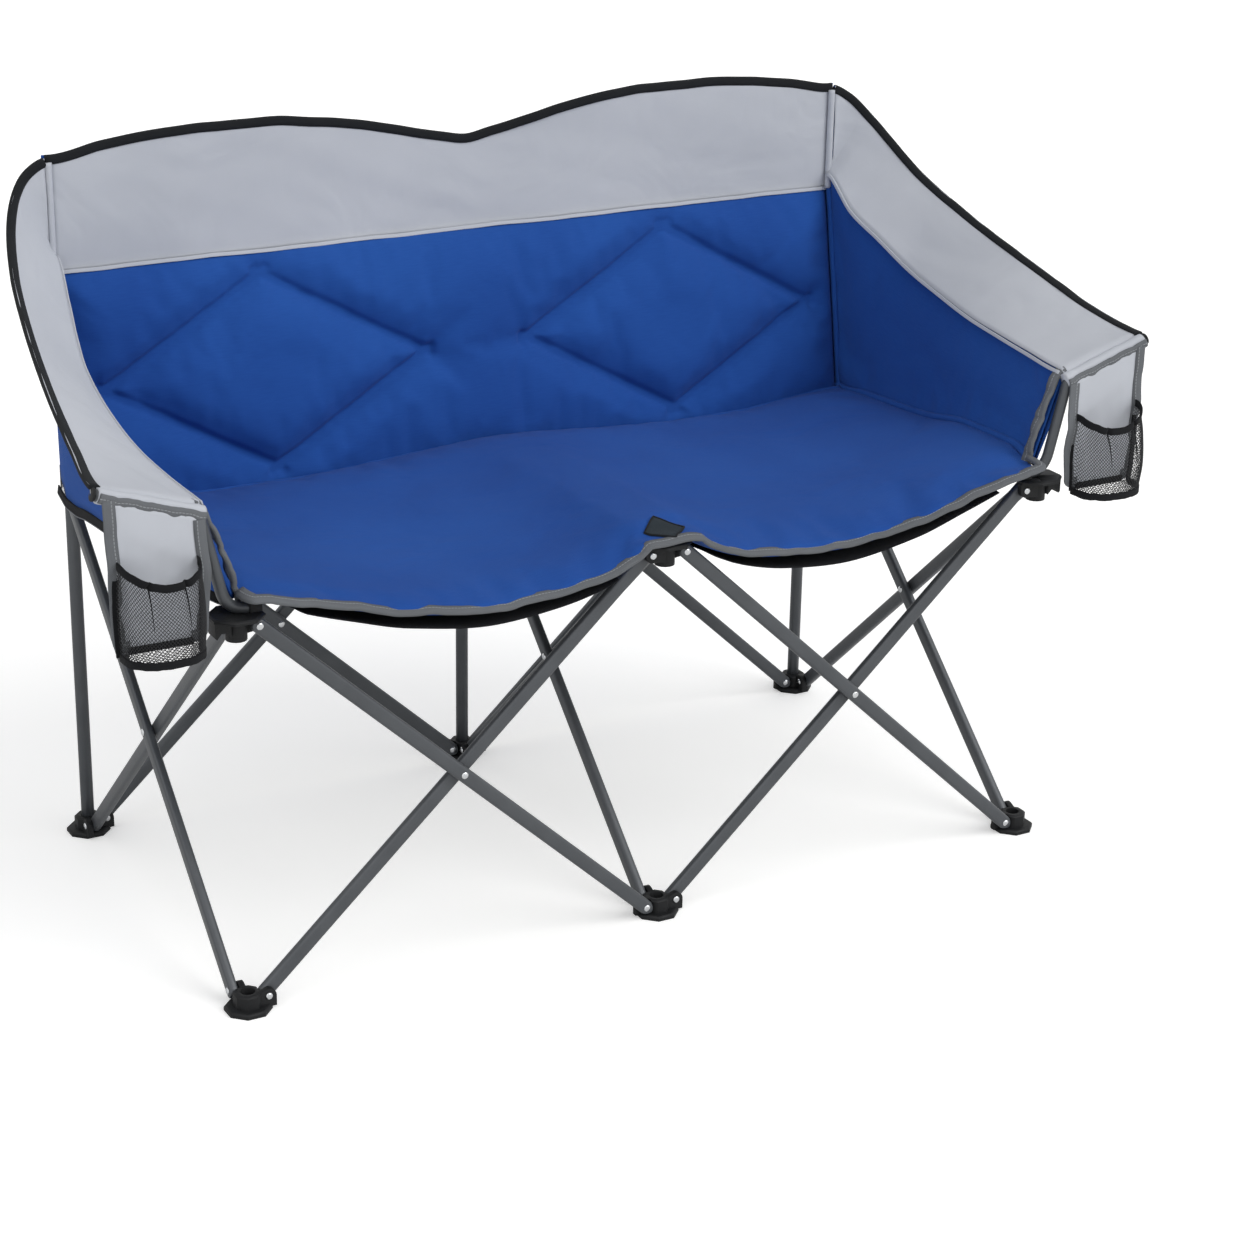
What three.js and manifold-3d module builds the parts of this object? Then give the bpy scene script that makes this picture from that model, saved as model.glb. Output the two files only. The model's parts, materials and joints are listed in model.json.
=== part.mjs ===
// A folding camping loveseat: six moulded feet, seven scissor pairs of flat-sided steel tube,
// three back posts with sliding hubs, three front hubs, two bent arm tubes and a padded cover.
// Millimetres, +Z up, the sitter faces -Y, and +X is on the right as seen from the front.
// The origin is on the floor under the middle of the loveseat's outline.

import * as THREE from "three";
import { mergeVertices } from "three/addons/utils/BufferGeometryUtils.js";
import Module from "manifold-3d";

const wasm = await Module();
wasm.setup();

// Frame: the feet stand one bay apart, from side to side and from front to back.
const bay = 520;
const pivotInset = 21;
const footPivotHeight = 16;
const hubPivotHeight = 456;
const runningGap = 0.3;
const overcut = 1.8;
const weldDistance = 0.003;
const fineWeldDistance = 0.0003;

// Scissor tubes and their rivets.
const tubeDepth = 17;
const tubeThickness = 11;
const tubeWall = 1.2;
const tubeCornerRadius = 4;
const pairGap = 1;
const rivetRadius = 2.5;
const rivetHeadRadius = 4.2;
const rivetHeadHeight = 1.6;
const spacerRadius = 6;

// Moulded feet and hubs. Each scissor tube has one ear beside it.
const planeOffset = 4;
const earThickness = 7;
const earRadius = 9;
const bossRadius = 11.8;
const footWidth = 50;
const footBaseHeight = 6;
const footBlockWidth = 31;
const bevel = 2;
const socketHeight = 22;
const earSlope = 5;
const earTurnShare = 0.6;
const hubWidth = 58;
const hubPlateThickness = 4.5;
const hubPlateLift = 9.5;
const hubBossDrop = 16;
const collarRise = 24;
const gussetFront = 12;
const gussetRear = 8;
const gussetDrop = 9;
const gussetArch = 5;

// Every height from here on is a rise above the hubs' pivots, or a drop below them. Every depth is a
// setback from the back row of feet, and every width is an overhang past the corner feet or the seat.
// Back posts.
const postRadius = 8;
const postWall = 1.2;
const cornerPostRise = 386;
const centrePostRise = 364;
const capHeadHeight = 5;
const capOverhang = 0.9;
const plugLength = 18;

// Arm tubes, which stand in a blind sleeve on each front corner hub.
const armRadius = 6.5;
const armWall = 1.3;
const armFloor = 1.5;
const armRoof = 1.6;
const armRootInset = 22;
const armLowBend = 23.4;
const armHighBend = 11;
const armFootOut = 10;
const armElbowOut = 37;
const armElbowRise = 130;
const armTipOut = 148;
const armTipRise = 166;

// Seat cushion and the sling cloth under it.
const clothGap = 0.6;
const seatOverhang = 11;
const seatFrontOverhang = 30;
const seatSetback = 82;
const seatHighRise = 37;
const seatRearRise = 6;
const seatScallop = 57;
const seatSideDrop = 32;
const seatSideRise = 38;
const seatRearSag = 14;
const seatThickness = 24;
const seatEdge = 6;
const seatThinnest = 4;
const seatCrown = 7;
const seatCornerInset = 24;
const hubMargin = 5;
const slingThickness = 2;
const slingInset = 7;
const slingFrontInset = 5;
const slingSetback = 3;
const slingNotch = 70;

// Quilted back and the plain band above it.
const backBottomDrop = 17;
const seamRise = 263;
const backFootSetback = 58;
const backHeadSetback = 9.6;
const backThickness = 22;
const backEdge = 7;
const channelDepth = 9;
const channelHalfWidth = 13;
const diamondCentreRise = 121;
const bandSetback = 9.4;
const bandThickness = 5;
const bandDipRise = 380;
const bandHump = 42;

// Side wings: a padded lower panel up to the middle rail, then a plain band to the top rail.
const wingFront = 9;
const wingFootSetback = 52;
const wingMiddleSetback = 18;
const wingTopSetback = 15;
const wingFootSpread = 2;
const wingFootDrop = 6;
const wingMiddleOut = 31;
const wingMiddleDraw = 30;
const wingMiddleFrontRise = 136;
const wingMiddleClimb = 146;
const wingTopOut = 139;
const wingTopDraw = 78;
const wingTopFrontRise = 170;
const wingTopClimb = 177;
const wingPadThickness = 15;
const wingPadEdge = 6;
const wingCrown = 6;
const wingBandThickness = 4;
const wingCornerOut = 6;
const wingCornerRise = 394;

// Hanging panel and its open-topped net pocket, on each arm tube.
const hemWall = 2;
const hemStart = 14;
const hemEnd = 9;
const panelThickness = 2.7;
const panelInnerOut = 36;
const panelOuterOut = 142;
const panelBottomDrop = 7;
const panelCorner = 12;
const panelTaper = 5;
const pocketInset = 6;
const pocketDepth = 52;
const pocketWall = 2;
const pocketTopRise = 86;
const pocketDip = 9;
const pocketBottomDrop = 11;
const pocketRoundness = 0.6;
const pocketMiddleShare = 0.3;

// Bare diamond patch on the seat above the front middle hub.
const patchHalfWidth = 28;
const patchThickness = 1.5;

// Shapes as shares: how far along, then how much of the matching size.
const frontDropShares = [[0, 0.28], [0.06, 0.3], [0.09, 0.47], [0.17, 0.77], [0.28, 0.93], [0.42, 1],
  [0.62, 0.77], [0.75, 0.46], [0.885, 0.15], [0.93, 0.06], [1, 0]];
const rearSagShares = [[0, 0], [0.3, 0.6], [0.5, 1], [0.7, 0.9], [0.87, 0.2], [1, 0]];
const sideDropShares = [[0, 0.03], [0.083, 0.1], [0.22, 0], [0.41, 0.06], [0.62, 0.53], [0.92, 0.84], [1, 1]];
const bandTopShares = [[0, 0], [0.06, 0.13], [0.17, 0.43], [0.28, 0.72], [0.39, 0.9], [0.47, 1],
  [0.64, 1], [0.76, 0.9], [0.88, 0.7], [1, 0.42]];
const middleDrawShares = [[0, 0.27], [0.16, 0.1], [0.32, 0], [0.5, 0.03], [0.68, 0.2], [0.79, 0.47],
  [0.89, 0.8], [1, 1]];
const middleRiseShares = [[0, 0], [0.16, 0.03], [0.37, 0.1], [0.575, 0.25], [0.68, 0.36], [0.785, 0.53],
  [0.89, 0.71], [1, 1]];
const topDrawShares = [[0, 0], [0.16, 0.115], [0.36, 0.256], [0.56, 0.436], [0.77, 0.667], [1, 1]];
const topRiseShares = [[0, 0], [0.16, 0.073], [0.36, 0.237], [0.56, 0.418], [0.77, 0.655], [1, 1]];
const seatColumnShares = [0.06, 0.14, 0.26, 0.4, 0.54, 0.68, 0.8, 0.91];
const slingReachShare = 0.95;
const seatRowShares = [0.1, 0.23, 0.38, 0.54, 0.7, 0.85];
const pocketGirthShares = [[0, 0.86], [0.35, 1], [0.75, 0.92], [1, 0.74]];

// Quilting: the diamond's place and size as shares of its half of the back, then how far in from the
// outline each ring lies, and its share of the full thickness.
const diamondPlaceShare = 0.525;
const diamondWidthShare = 0.39;
const diamondHeightShare = 0.407;
const shoulderPlaceShare = 0.16;
const flankPlaceShare = 0.5;
const middleSeamShare = 0.85;
const shoulderShare = 0.9;
const besideChannelShare = 0.93;
const diamondFullShare = 1.08;
const diamondPeakShare = 1.1;

// Counts of facets.
const roundSteps = 16;
const holeSteps = 6;
const headSteps = 8;
const cornerSteps = 2;
const coreCornerSteps = 1;
const earSteps = 3;
const bendSteps = 5;
const armSteps = 8;
const wingSteps = 10;
const wingRows = 5;
const bandColumns = 22;
const bandRows = 3;
const pocketSteps = 14;
const pocketLevels = 4;
const quiltSteps = 8;

const pivotSpan = bay - 2 * pivotInset;
const pivotRise = hubPivotHeight - footPivotHeight;
const tubeLength = Math.hypot(pivotSpan, pivotRise);
const tubeLean = Math.atan2(pivotRise, pivotSpan);
const tubePlane = (tubeThickness + pairGap) / 2;
const earFace = pairGap / 2 - runningGap;
const plateBottom = hubPivotHeight + hubPlateLift;
const plateTop = plateBottom + hubPlateThickness;
const armAxis = plateBottom + armFloor + runningGap + armRadius;
const sleeveTop = armAxis + armRadius + runningGap + armRoof;
const hubReach = hubWidth / 2 + hubMargin;

const seatHalfWidth = bay + seatOverhang;
const seatFront = -seatFrontOverhang;
const seatBack = bay - seatSetback;
const slingHalfWidth = seatHalfWidth - slingInset;
const slingFront = seatFront + slingFrontInset;
const backHalfWidth = seatHalfWidth;
const backFootDepth = bay - backFootSetback;
const backHeadDepth = bay - backHeadSetback;
const bandRear = bay - bandSetback;
const wingFoot = bay - wingFootSetback;
const wingMiddleBack = bay - wingMiddleSetback;
const wingTopBack = bay - wingTopSetback;
const wingMiddleX = seatHalfWidth + wingMiddleOut;
const wingTopX = seatHalfWidth + wingTopOut;
const wingCornerX = seatHalfWidth + wingCornerOut;
const panelInnerX = bay + panelInnerOut;
const panelOuterX = bay + panelOuterOut;
const cornerPostTop = hubPivotHeight + cornerPostRise;
const centrePostTop = hubPivotHeight + centrePostRise;
const armElbowHeight = hubPivotHeight + armElbowRise;
const armTipHeight = hubPivotHeight + armTipRise;
const seatHighPoint = hubPivotHeight + seatHighRise;
const seatRearHeight = hubPivotHeight + seatRearRise;
const seatSideHigh = hubPivotHeight + seatSideRise;
const backBottom = hubPivotHeight - backBottomDrop;
const seamHeight = hubPivotHeight + seamRise;
const diamondCentreHeight = hubPivotHeight + diamondCentreRise;
const diamondCentreX = backHalfWidth * diamondPlaceShare;
const diamondHalfWidth = backHalfWidth * diamondWidthShare;
const diamondHalfHeight = (seamHeight - backBottom) * diamondHeightShare;
const bandDip = hubPivotHeight + bandDipRise;
const wingMiddleHeight = hubPivotHeight + wingMiddleFrontRise;
const wingTopHeight = hubPivotHeight + wingTopFrontRise;
const wingCornerHeight = hubPivotHeight + wingCornerRise;
const panelBottom = hubPivotHeight - panelBottomDrop;
const pocketTop = hubPivotHeight + pocketTopRise;
const pocketBottom = hubPivotHeight - pocketBottomDrop;

const finishes = {
  steel: { color: 0x4b5054, roughness: 0.42, metalness: 0.55 },
  plastic: { color: 0x141516, roughness: 0.5, metalness: 0 },
  rivet: { color: 0xc9ccce, roughness: 0.25, metalness: 1 },
  blue: { color: 0x224a90, roughness: 0.85, metalness: 0 },
  grey: { color: 0xa6abb2, roughness: 0.85, metalness: 0 },
  black: { color: 0x1b1c1e, roughness: 0.9, metalness: 0 },
};

const loveseat = new THREE.Group();
const model = new THREE.Group();
loveseat.add(model);

function add(name, geometry, finish, matrix) {
  const placed = geometry.clone();
  if (matrix) placed.applyMatrix4(matrix);
  const mesh = new THREE.Mesh(placed, new THREE.MeshStandardMaterial(finishes[finish]));
  mesh.name = name;
  model.add(mesh);
}

// The value at a position, read along a smooth line through a table of shares.
function along(table, position) {
  const last = table.length - 1;
  let i = 0;
  while (i < last - 1 && position > table[i + 1][0]) i += 1;
  const [x0, y0] = table[i];
  const [x1, y1] = table[i + 1];
  const t = Math.min(1, Math.max(0, (position - x0) / (x1 - x0)));
  const slope = (j) => {
    if (j <= 0 || j >= last) return 0;
    const before = (table[j][1] - table[j - 1][1]) / (table[j][0] - table[j - 1][0]);
    const after = (table[j + 1][1] - table[j][1]) / (table[j + 1][0] - table[j][0]);
    return before * after > 0 ? (2 * before * after) / (before + after) : 0;
  };
  const wide = x1 - x0;
  const rise = (1 - t) * (1 - t) * (y0 + t * (2 * y0 + wide * slope(i)));
  const fall = t * t * (y1 + (1 - t) * (2 * y1 - wide * slope(i + 1)));
  return rise + fall;
}

function mix(a, b, t) {
  return a + (b - a) * t;
}

// One when in the middle of a panel and nothing at its edges.
function fullness(t) {
  return 1 - Math.pow(Math.abs(2 * t - 1), 6);
}

// Triangles to a geometry, turned the right way out.
function fromTriangles(points, triangles) {
  let volume = 0;
  for (const [a, b, c] of triangles) volume += points[a].dot(points[b].clone().cross(points[c]));
  const index = triangles.flatMap(([a, b, c]) => (volume > 0 ? [a, b, c] : [a, c, b]));
  const geometry = new THREE.BufferGeometry().setFromPoints(points);
  geometry.setIndex(index);
  const merged = mergeVertices(geometry, weldDistance);
  merged.computeVertexNormals();
  return merged;
}

// A closed solid between two sheets of points that share rows and columns.
function between(front, back) {
  const rows = front.length;
  const columns = front[0].length;
  const at = (side, r, c) => (side * rows + r) * columns + c;
  const triangles = [];
  const quad = (a, b, c, d) => triangles.push([a, b, c], [a, c, d]);
  const [lastRow, lastColumn] = [rows - 1, columns - 1];
  for (let r = 0; r < rows - 1; r += 1) {
    for (let c = 0; c < columns - 1; c += 1) {
      quad(at(0, r, c), at(0, r, c + 1), at(0, r + 1, c + 1), at(0, r + 1, c));
      quad(at(1, r, c), at(1, r + 1, c), at(1, r + 1, c + 1), at(1, r, c + 1));
    }
  }
  for (let c = 0; c < columns - 1; c += 1) {
    quad(at(0, 0, c), at(1, 0, c), at(1, 0, c + 1), at(0, 0, c + 1));
    quad(at(0, lastRow, c), at(0, lastRow, c + 1), at(1, lastRow, c + 1), at(1, lastRow, c));
  }
  for (let r = 0; r < rows - 1; r += 1) {
    quad(at(0, r, 0), at(0, r + 1, 0), at(1, r + 1, 0), at(1, r, 0));
    quad(at(0, r, lastColumn), at(1, r, lastColumn), at(1, r + 1, lastColumn), at(0, r + 1, lastColumn));
  }
  return fromTriangles([...front.flat(), ...back.flat()], triangles);
}

function toSolid(geometry) {
  const plain = geometry.clone();
  plain.deleteAttribute("normal");
  plain.deleteAttribute("uv");
  const merged = mergeVertices(plain, fineWeldDistance);
  return new wasm.Manifold(new wasm.Mesh({
    numProp: 3,
    vertProperties: Float32Array.from(merged.attributes.position.array),
    triVerts: Uint32Array.from(merged.index.array),
  }));
}

function toGeometry(solid) {
  const mesh = solid.getMesh();
  const geometry = new THREE.BufferGeometry();
  geometry.setAttribute("position", new THREE.BufferAttribute(mesh.vertProperties, 3));
  geometry.setIndex(new THREE.BufferAttribute(mesh.triVerts, 1));
  geometry.computeVertexNormals();
  return geometry;
}

function join(first, ...others) {
  return others.reduce((sum, next) => sum.add(next), first);
}

// A round bar along an axis between two stations; at gives its other two coordinates.
function bar(axis, radius, from, to, at, steps = roundSteps) {
  const geometry = new THREE.CylinderGeometry(radius, radius, to - from, steps);
  const middle = (from + to) / 2;
  if (axis === "z") geometry.rotateX(Math.PI / 2).translate(at[0], at[1], middle);
  if (axis === "y") geometry.translate(at[0], middle, at[1]);
  return toSolid(geometry);
}

// A cutter whose flats stand at the given radius.
function drill(axis, radius, from, to, at, steps = roundSteps) {
  return bar(axis, radius / Math.cos(Math.PI / steps), from, to, at, steps);
}

function block(x0, x1, y0, y1, z0, z1) {
  const geometry = new THREE.BoxGeometry(x1 - x0, y1 - y0, z1 - z0);
  return toSolid(geometry.translate((x0 + x1) / 2, (y0 + y1) / 2, (z0 + z1) / 2));
}

// A shape drawn in x and z, standing between two depths.
function upright(shape, y0, y1, curveSegments = earSteps) {
  const geometry = new THREE.ExtrudeGeometry(shape, { depth: y1 - y0, bevelEnabled: false, curveSegments });
  return toSolid(geometry.rotateX(Math.PI / 2).translate(0, y1, 0));
}

function octagon(width, z0, z1) {
  const corner = 1 / Math.cos(Math.PI / 8);
  const full = (width / 2) * corner;
  const small = (width / 2 - bevel) * corner;
  const profile = [[0, z0], [full, z0], [full, z1 - bevel], [small, z1], [0, z1]];
  const geometry = new THREE.LatheGeometry(profile.map(([r, z]) => new THREE.Vector2(r, z)), 8);
  return toSolid(geometry.rotateX(Math.PI / 2).rotateZ(Math.PI / 8));
}

function turned(solid, angle) {
  return solid.rotate([0, 0, THREE.MathUtils.radToDeg(angle)]);
}

// A ring-shaped section turned about the upright axis.
function turnedTube(inner, outer, z0, z1) {
  const profile = [[inner, z0], [outer, z0], [outer, z1], [inner, z1], [inner, z0]];
  const geometry = new THREE.LatheGeometry(profile.map(([r, z]) => new THREE.Vector2(r, z)), roundSteps);
  return toSolid(geometry.rotateX(Math.PI / 2));
}

const stations = [
  { name: "front_left", x: -bay, y: 0 },
  { name: "front_centre", x: 0, y: 0 },
  { name: "front_right", x: bay, y: 0 },
  { name: "back_left", x: -bay, y: bay },
  { name: "back_centre", x: 0, y: bay },
  { name: "back_right", x: bay, y: bay },
];

// Scissor pairs, each turned so that its far station lies that way from its near one.
const bays = [
  { name: "front_left", near: 0, far: 1, turn: 0 },
  { name: "front_right", near: 1, far: 2, turn: 0 },
  { name: "back_left", near: 3, far: 4, turn: 0 },
  { name: "back_right", near: 4, far: 5, turn: 0 },
  { name: "side_left", near: 3, far: 0, turn: -Math.PI / 2 },
  { name: "middle", near: 4, far: 1, turn: -Math.PI / 2 },
  { name: "side_right", near: 2, far: 5, turn: Math.PI / 2 },
];

// At each station, the ears face along their bay; the pair's middle plane is to one side.
for (const place of stations) place.ears = [];
for (const { near, far, turn } of bays) {
  stations[near].ears.push({ facing: turn, side: -planeOffset });
  stations[far].ears.push({ facing: turn + Math.PI, side: planeOffset });
}

function footEar({ facing, side }) {
  const shape = new THREE.Shape();
  const tip = pivotInset + earRadius;
  shape.moveTo(0, footBaseHeight / 2);
  shape.lineTo(tip, footBaseHeight / 2);
  shape.absarc(pivotInset, footPivotHeight, earRadius, 0, Math.PI * earTurnShare, false);
  shape.lineTo(0, socketHeight - earSlope);
  const face = side + earFace;
  const back = face - earThickness;
  const pivot = [pivotInset, footPivotHeight];
  const hole = drill("y", rivetRadius + runningGap, back - overcut, face + overcut, pivot, holeSteps);
  return turned(upright(shape, back, face).subtract(hole), facing);
}

// Room in a foot's block for the round end of the tube beside an ear.
function tubeSlot({ facing, side }) {
  const face = side + earFace;
  const far = side + pairGap / 2 + tubeThickness + runningGap;
  const start = pivotInset - tubeDepth / 2 - runningGap;
  const slot = block(start, footWidth, face, far, footBaseHeight, socketHeight + overcut);
  return turned(slot, facing);
}

// A foot: bevelled eight-sided base and block, round open socket and one ear for each tube.
function foot(place) {
  const base = octagon(footWidth, 0, footBaseHeight);
  const body = octagon(footBlockWidth, footBaseHeight / 2, socketHeight);
  const socket = drill("z", postRadius + runningGap, footBaseHeight, socketHeight + overcut, [0, 0]);
  const hollow = join(socket, ...place.ears.map(tubeSlot));
  return join(base, body, ...place.ears.map(footEar)).subtract(hollow);
}

function hubEar({ facing, side }) {
  const shape = new THREE.Shape();
  const top = plateBottom + hubPlateThickness / 2;
  shape.moveTo(0, top);
  shape.lineTo(0, hubPivotHeight - hubBossDrop + earSlope);
  shape.absarc(pivotInset, hubPivotHeight, earRadius, -Math.PI * earTurnShare, 0, false);
  shape.lineTo(pivotInset + earRadius, plateBottom - bevel / 2);
  shape.lineTo(hubWidth / 2 - bevel, top);
  const face = side - earFace;
  const back = face + earThickness;
  const pivot = [pivotInset, hubPivotHeight];
  const hole = drill("y", rivetRadius + runningGap, face - overcut, back + overcut, pivot, holeSteps);
  return turned(upright(shape, face, back).subtract(hole), facing);
}

// A hub's hollow round boss, with one ear for each tube.
function hub(place, bossTop, boreTop, ...more) {
  const low = hubPivotHeight - hubBossDrop;
  const boss = bar("z", bossRadius, low, bossTop, [0, 0]);
  const bore = drill("z", postRadius + runningGap, low - overcut, boreTop, [0, 0]);
  return join(boss, ...place.ears.map(hubEar), ...more).subtract(bore);
}

// A front hub has a bevelled plate on top, which closes its boss.
function frontHub(place) {
  const plate = octagon(hubWidth, plateBottom, plateTop);
  return hub(place, plateBottom + bevel / 2, plateBottom - bevel, plate);
}

// The centre line of an arm tube, from its root in the hub's sleeve to its outer tip.
function armPath(side) {
  const centre = side * bay;
  const root = new THREE.Vector3(centre - side * armRootInset, 0, armAxis);
  const knee = new THREE.Vector3(centre + side * armFootOut, 0, armAxis);
  const elbow = new THREE.Vector3(centre + side * armElbowOut, 0, armElbowHeight);
  const tip = new THREE.Vector3(centre + side * armTipOut, 0, armTipHeight);
  const toward = (from, to, length) => from.clone().add(to.clone().sub(from).setLength(length));
  const a = toward(knee, root, armLowBend);
  const b = toward(knee, elbow, armLowBend);
  const c = toward(elbow, knee, armHighBend);
  const d = toward(elbow, tip, armHighBend);
  return { root, knee, elbow, tip, bends: [[a, knee, b], [c, elbow, d]] };
}

// A round rod or tube swept along the arm's line, a ring of facets at each step.
function armSweep(side, radius, inner, extra) {
  const { root, tip, elbow, bends } = armPath(side);
  const line = [];
  const outwards = tip.clone().sub(elbow).normalize();
  line.push(root.clone().add(new THREE.Vector3(-side * extra, 0, 0)));
  for (const [from, corner, to] of bends) {
    const curve = new THREE.QuadraticBezierCurve3(from, corner, to);
    line.push(...curve.getPoints(bendSteps));
  }
  line.push(tip.clone().add(outwards.multiplyScalar(extra)));
  const rings = (r) => line.map((point, i) => {
    const ahead = line[Math.min(i + 1, line.length - 1)].clone().sub(line[Math.max(i - 1, 0)]).normalize();
    const across = new THREE.Vector3(0, 1, 0);
    const up = ahead.clone().cross(across);
    return Array.from({ length: armSteps }, (_, k) => {
      const angle = (2 * Math.PI * k) / armSteps;
      const spoke = across.clone().multiplyScalar(r * Math.cos(angle));
      return point.clone().add(spoke).addScaledVector(up, r * Math.sin(angle));
    });
  });
  const outer = rings(radius);
  const core = inner > 0 ? rings(inner) : line.map((point) => [point]);
  const points = [...outer.flat(), ...core.flat()];
  const coreAt = (i, k) => outer.length * armSteps + (inner > 0 ? i * armSteps + (k % armSteps) : i);
  const outerAt = (i, k) => i * armSteps + (k % armSteps);
  const triangles = [];
  for (let k = 0; k < armSteps; k += 1) {
    for (let i = 0; i < line.length - 1; i += 1) {
      triangles.push([outerAt(i, k), outerAt(i + 1, k), outerAt(i + 1, k + 1)]);
      triangles.push([outerAt(i, k), outerAt(i + 1, k + 1), outerAt(i, k + 1)]);
      if (inner > 0) {
        triangles.push([coreAt(i, k), coreAt(i + 1, k + 1), coreAt(i + 1, k)]);
        triangles.push([coreAt(i, k), coreAt(i, k + 1), coreAt(i + 1, k + 1)]);
      }
    }
    for (const [i, flip] of [[0, false], [line.length - 1, true]]) {
      const a = outerAt(i, k);
      const b = outerAt(i, k + 1);
      const c = coreAt(i, k);
      const d = coreAt(i, k + 1);
      triangles.push(flip ? [a, c, b] : [a, b, c]);
      if (inner > 0) triangles.push(flip ? [b, c, d] : [b, d, c]);
    }
  }
  return fromTriangles(points, triangles);
}

// A corner hub has a blind sleeve for the arm tube and a gusset under its outer side.
function cornerHub(place) {
  const side = Math.sign(place.x);
  const inner = -side * (hubWidth / 2 - bevel);
  const outer = -side * (armLowBend - armFootOut);
  const half = armRadius + runningGap + armRoof;
  const [from, to] = [Math.min(inner, outer), Math.max(inner, outer)];
  const sleeve = block(from, to, -half, half, plateBottom + bevel / 2, sleeveTop);
  const rod = toSolid(armSweep(side, armRadius + runningGap, 0, runningGap));
  const cutter = rod.translate([-place.x, 0, 0]);
  const shape = new THREE.Shape();
  const rim = hubWidth / 2 - bevel / 2;
  const root = bossRadius - bevel;
  shape.moveTo(root, plateBottom + bevel / 2);
  const low = hubPivotHeight - gussetDrop;
  shape.lineTo(root, low);
  shape.quadraticCurveTo((root + rim) / 2, hubPivotHeight + gussetArch, rim - bevel, low);
  shape.lineTo(rim, low + bevel);
  shape.lineTo(rim, plateBottom + bevel / 2);
  let gusset = upright(shape, -gussetFront, gussetRear);
  if (side < 0) gusset = gusset.mirror([1, 0, 0]);
  return join(frontHub(place), sleeve, gusset).subtract(cutter);
}

// A scissor tube lying along +x from its lower pivot, its ears on the +y side.
function scissorTube() {
  const section = (width, height, radius, steps) => {
    const shape = new THREE.Shape();
    const x = width / 2 - radius;
    const y = height / 2 - radius;
    shape.absarc(x, y, radius, 0, Math.PI / 2, false);
    shape.absarc(-x, y, radius, Math.PI / 2, Math.PI, false);
    shape.absarc(-x, -y, radius, Math.PI, Math.PI * 1.5, false);
    shape.absarc(x, -y, radius, Math.PI * 1.5, Math.PI * 2, false);
    return new THREE.Shape(shape.getPoints(steps / 2).slice(0, -1));
  };
  const drawn = (shape, from, to) => {
    const geometry = new THREE.ExtrudeGeometry(shape, { depth: to - from, bevelEnabled: false });
    return toSolid(geometry.rotateY(Math.PI / 2).rotateX(Math.PI / 2).translate(from, 0, 0));
  };
  const reach = tubeDepth / 2;
  const half = tubeThickness / 2;
  const skin = section(tubeThickness, tubeDepth, tubeCornerRadius, cornerSteps);
  const outer = drawn(skin, -reach - overcut, tubeLength + reach + overcut);
  const [coreWidth, coreDepth] = [tubeThickness - 2 * tubeWall, tubeDepth - 2 * tubeWall];
  const core = section(coreWidth, coreDepth, tubeCornerRadius - tubeWall, coreCornerSteps);
  const inner = drawn(core, -reach - 2 * overcut, tubeLength + reach + 2 * overcut);
  const rounded = new THREE.Shape();
  rounded.absarc(tubeLength, 0, reach, -Math.PI / 2, Math.PI / 2, false);
  rounded.absarc(0, 0, reach, Math.PI / 2, Math.PI * 1.5, false);
  const ends = upright(rounded, -half - overcut, half + overcut);
  const crossing = [tubeLength / 2, 0];
  const hole = drill("y", rivetRadius + runningGap, -half - overcut, half + overcut, crossing, holeSteps);
  const tail = half + earThickness + 2 * runningGap;
  const headMiddle = rivetHeadHeight / 2;
  const tube = outer.intersect(ends).subtract(inner).subtract(hole);
  const rivets = [0, tubeLength].flatMap((x) => [
    bar("y", rivetRadius, -half - headMiddle, tail + headMiddle, [x, 0], holeSteps),
    bar("y", rivetHeadRadius, -half - rivetHeadHeight, -half + tubeWall / 2, [x, 0], headSteps),
    bar("y", rivetHeadRadius, tail, tail + rivetHeadHeight, [x, 0], headSteps),
  ]);
  return toGeometry(join(tube, ...rivets));
}

// The rivet where a pair crosses, with a thin spacer ring between the two tubes.
function crossingRivet() {
  const face = tubeThickness + pairGap / 2 + runningGap;
  const spacer = pairGap / 2 - runningGap;
  const shank = face + rivetHeadHeight / 2;
  return toGeometry(join(
    bar("y", rivetRadius, -shank, shank, [0, 0], holeSteps),
    bar("y", rivetHeadRadius, -face - rivetHeadHeight, -face, [0, 0], headSteps),
    bar("y", rivetHeadRadius, face, face + rivetHeadHeight, [0, 0], headSteps),
    bar("y", spacerRadius, -spacer, spacer, [0, 0], headSteps),
  ));
}

const tubeGeometry = scissorTube();
const rivetGeometry = crossingRivet();
for (const { name, near, far, turn } of bays) {
  const from = stations[near];
  const to = stations[far];
  const pair = new THREE.Matrix4().makeTranslation((from.x + to.x) / 2, (from.y + to.y) / 2, 0);
  pair.multiply(new THREE.Matrix4().makeRotationZ(turn));
  pair.multiply(new THREE.Matrix4().makeTranslation(0, -planeOffset, 0));
  for (const half of [0, 1]) {
    const matrix = pair.clone().multiply(new THREE.Matrix4().makeRotationZ(half * Math.PI));
    matrix.multiply(new THREE.Matrix4().makeTranslation(pivotSpan / 2, -tubePlane, footPivotHeight));
    matrix.multiply(new THREE.Matrix4().makeRotationY(tubeLean - Math.PI));
    const standing = half === 0 ? to : from;
    add(`tube_${name}_from_${standing.name}`, tubeGeometry, "steel", matrix);
  }
  const rise = new THREE.Matrix4().makeTranslation(0, 0, footPivotHeight + pivotRise / 2);
  add(`crossing_rivet_${name}`, rivetGeometry, "rivet", pair.clone().multiply(rise));
}

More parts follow.
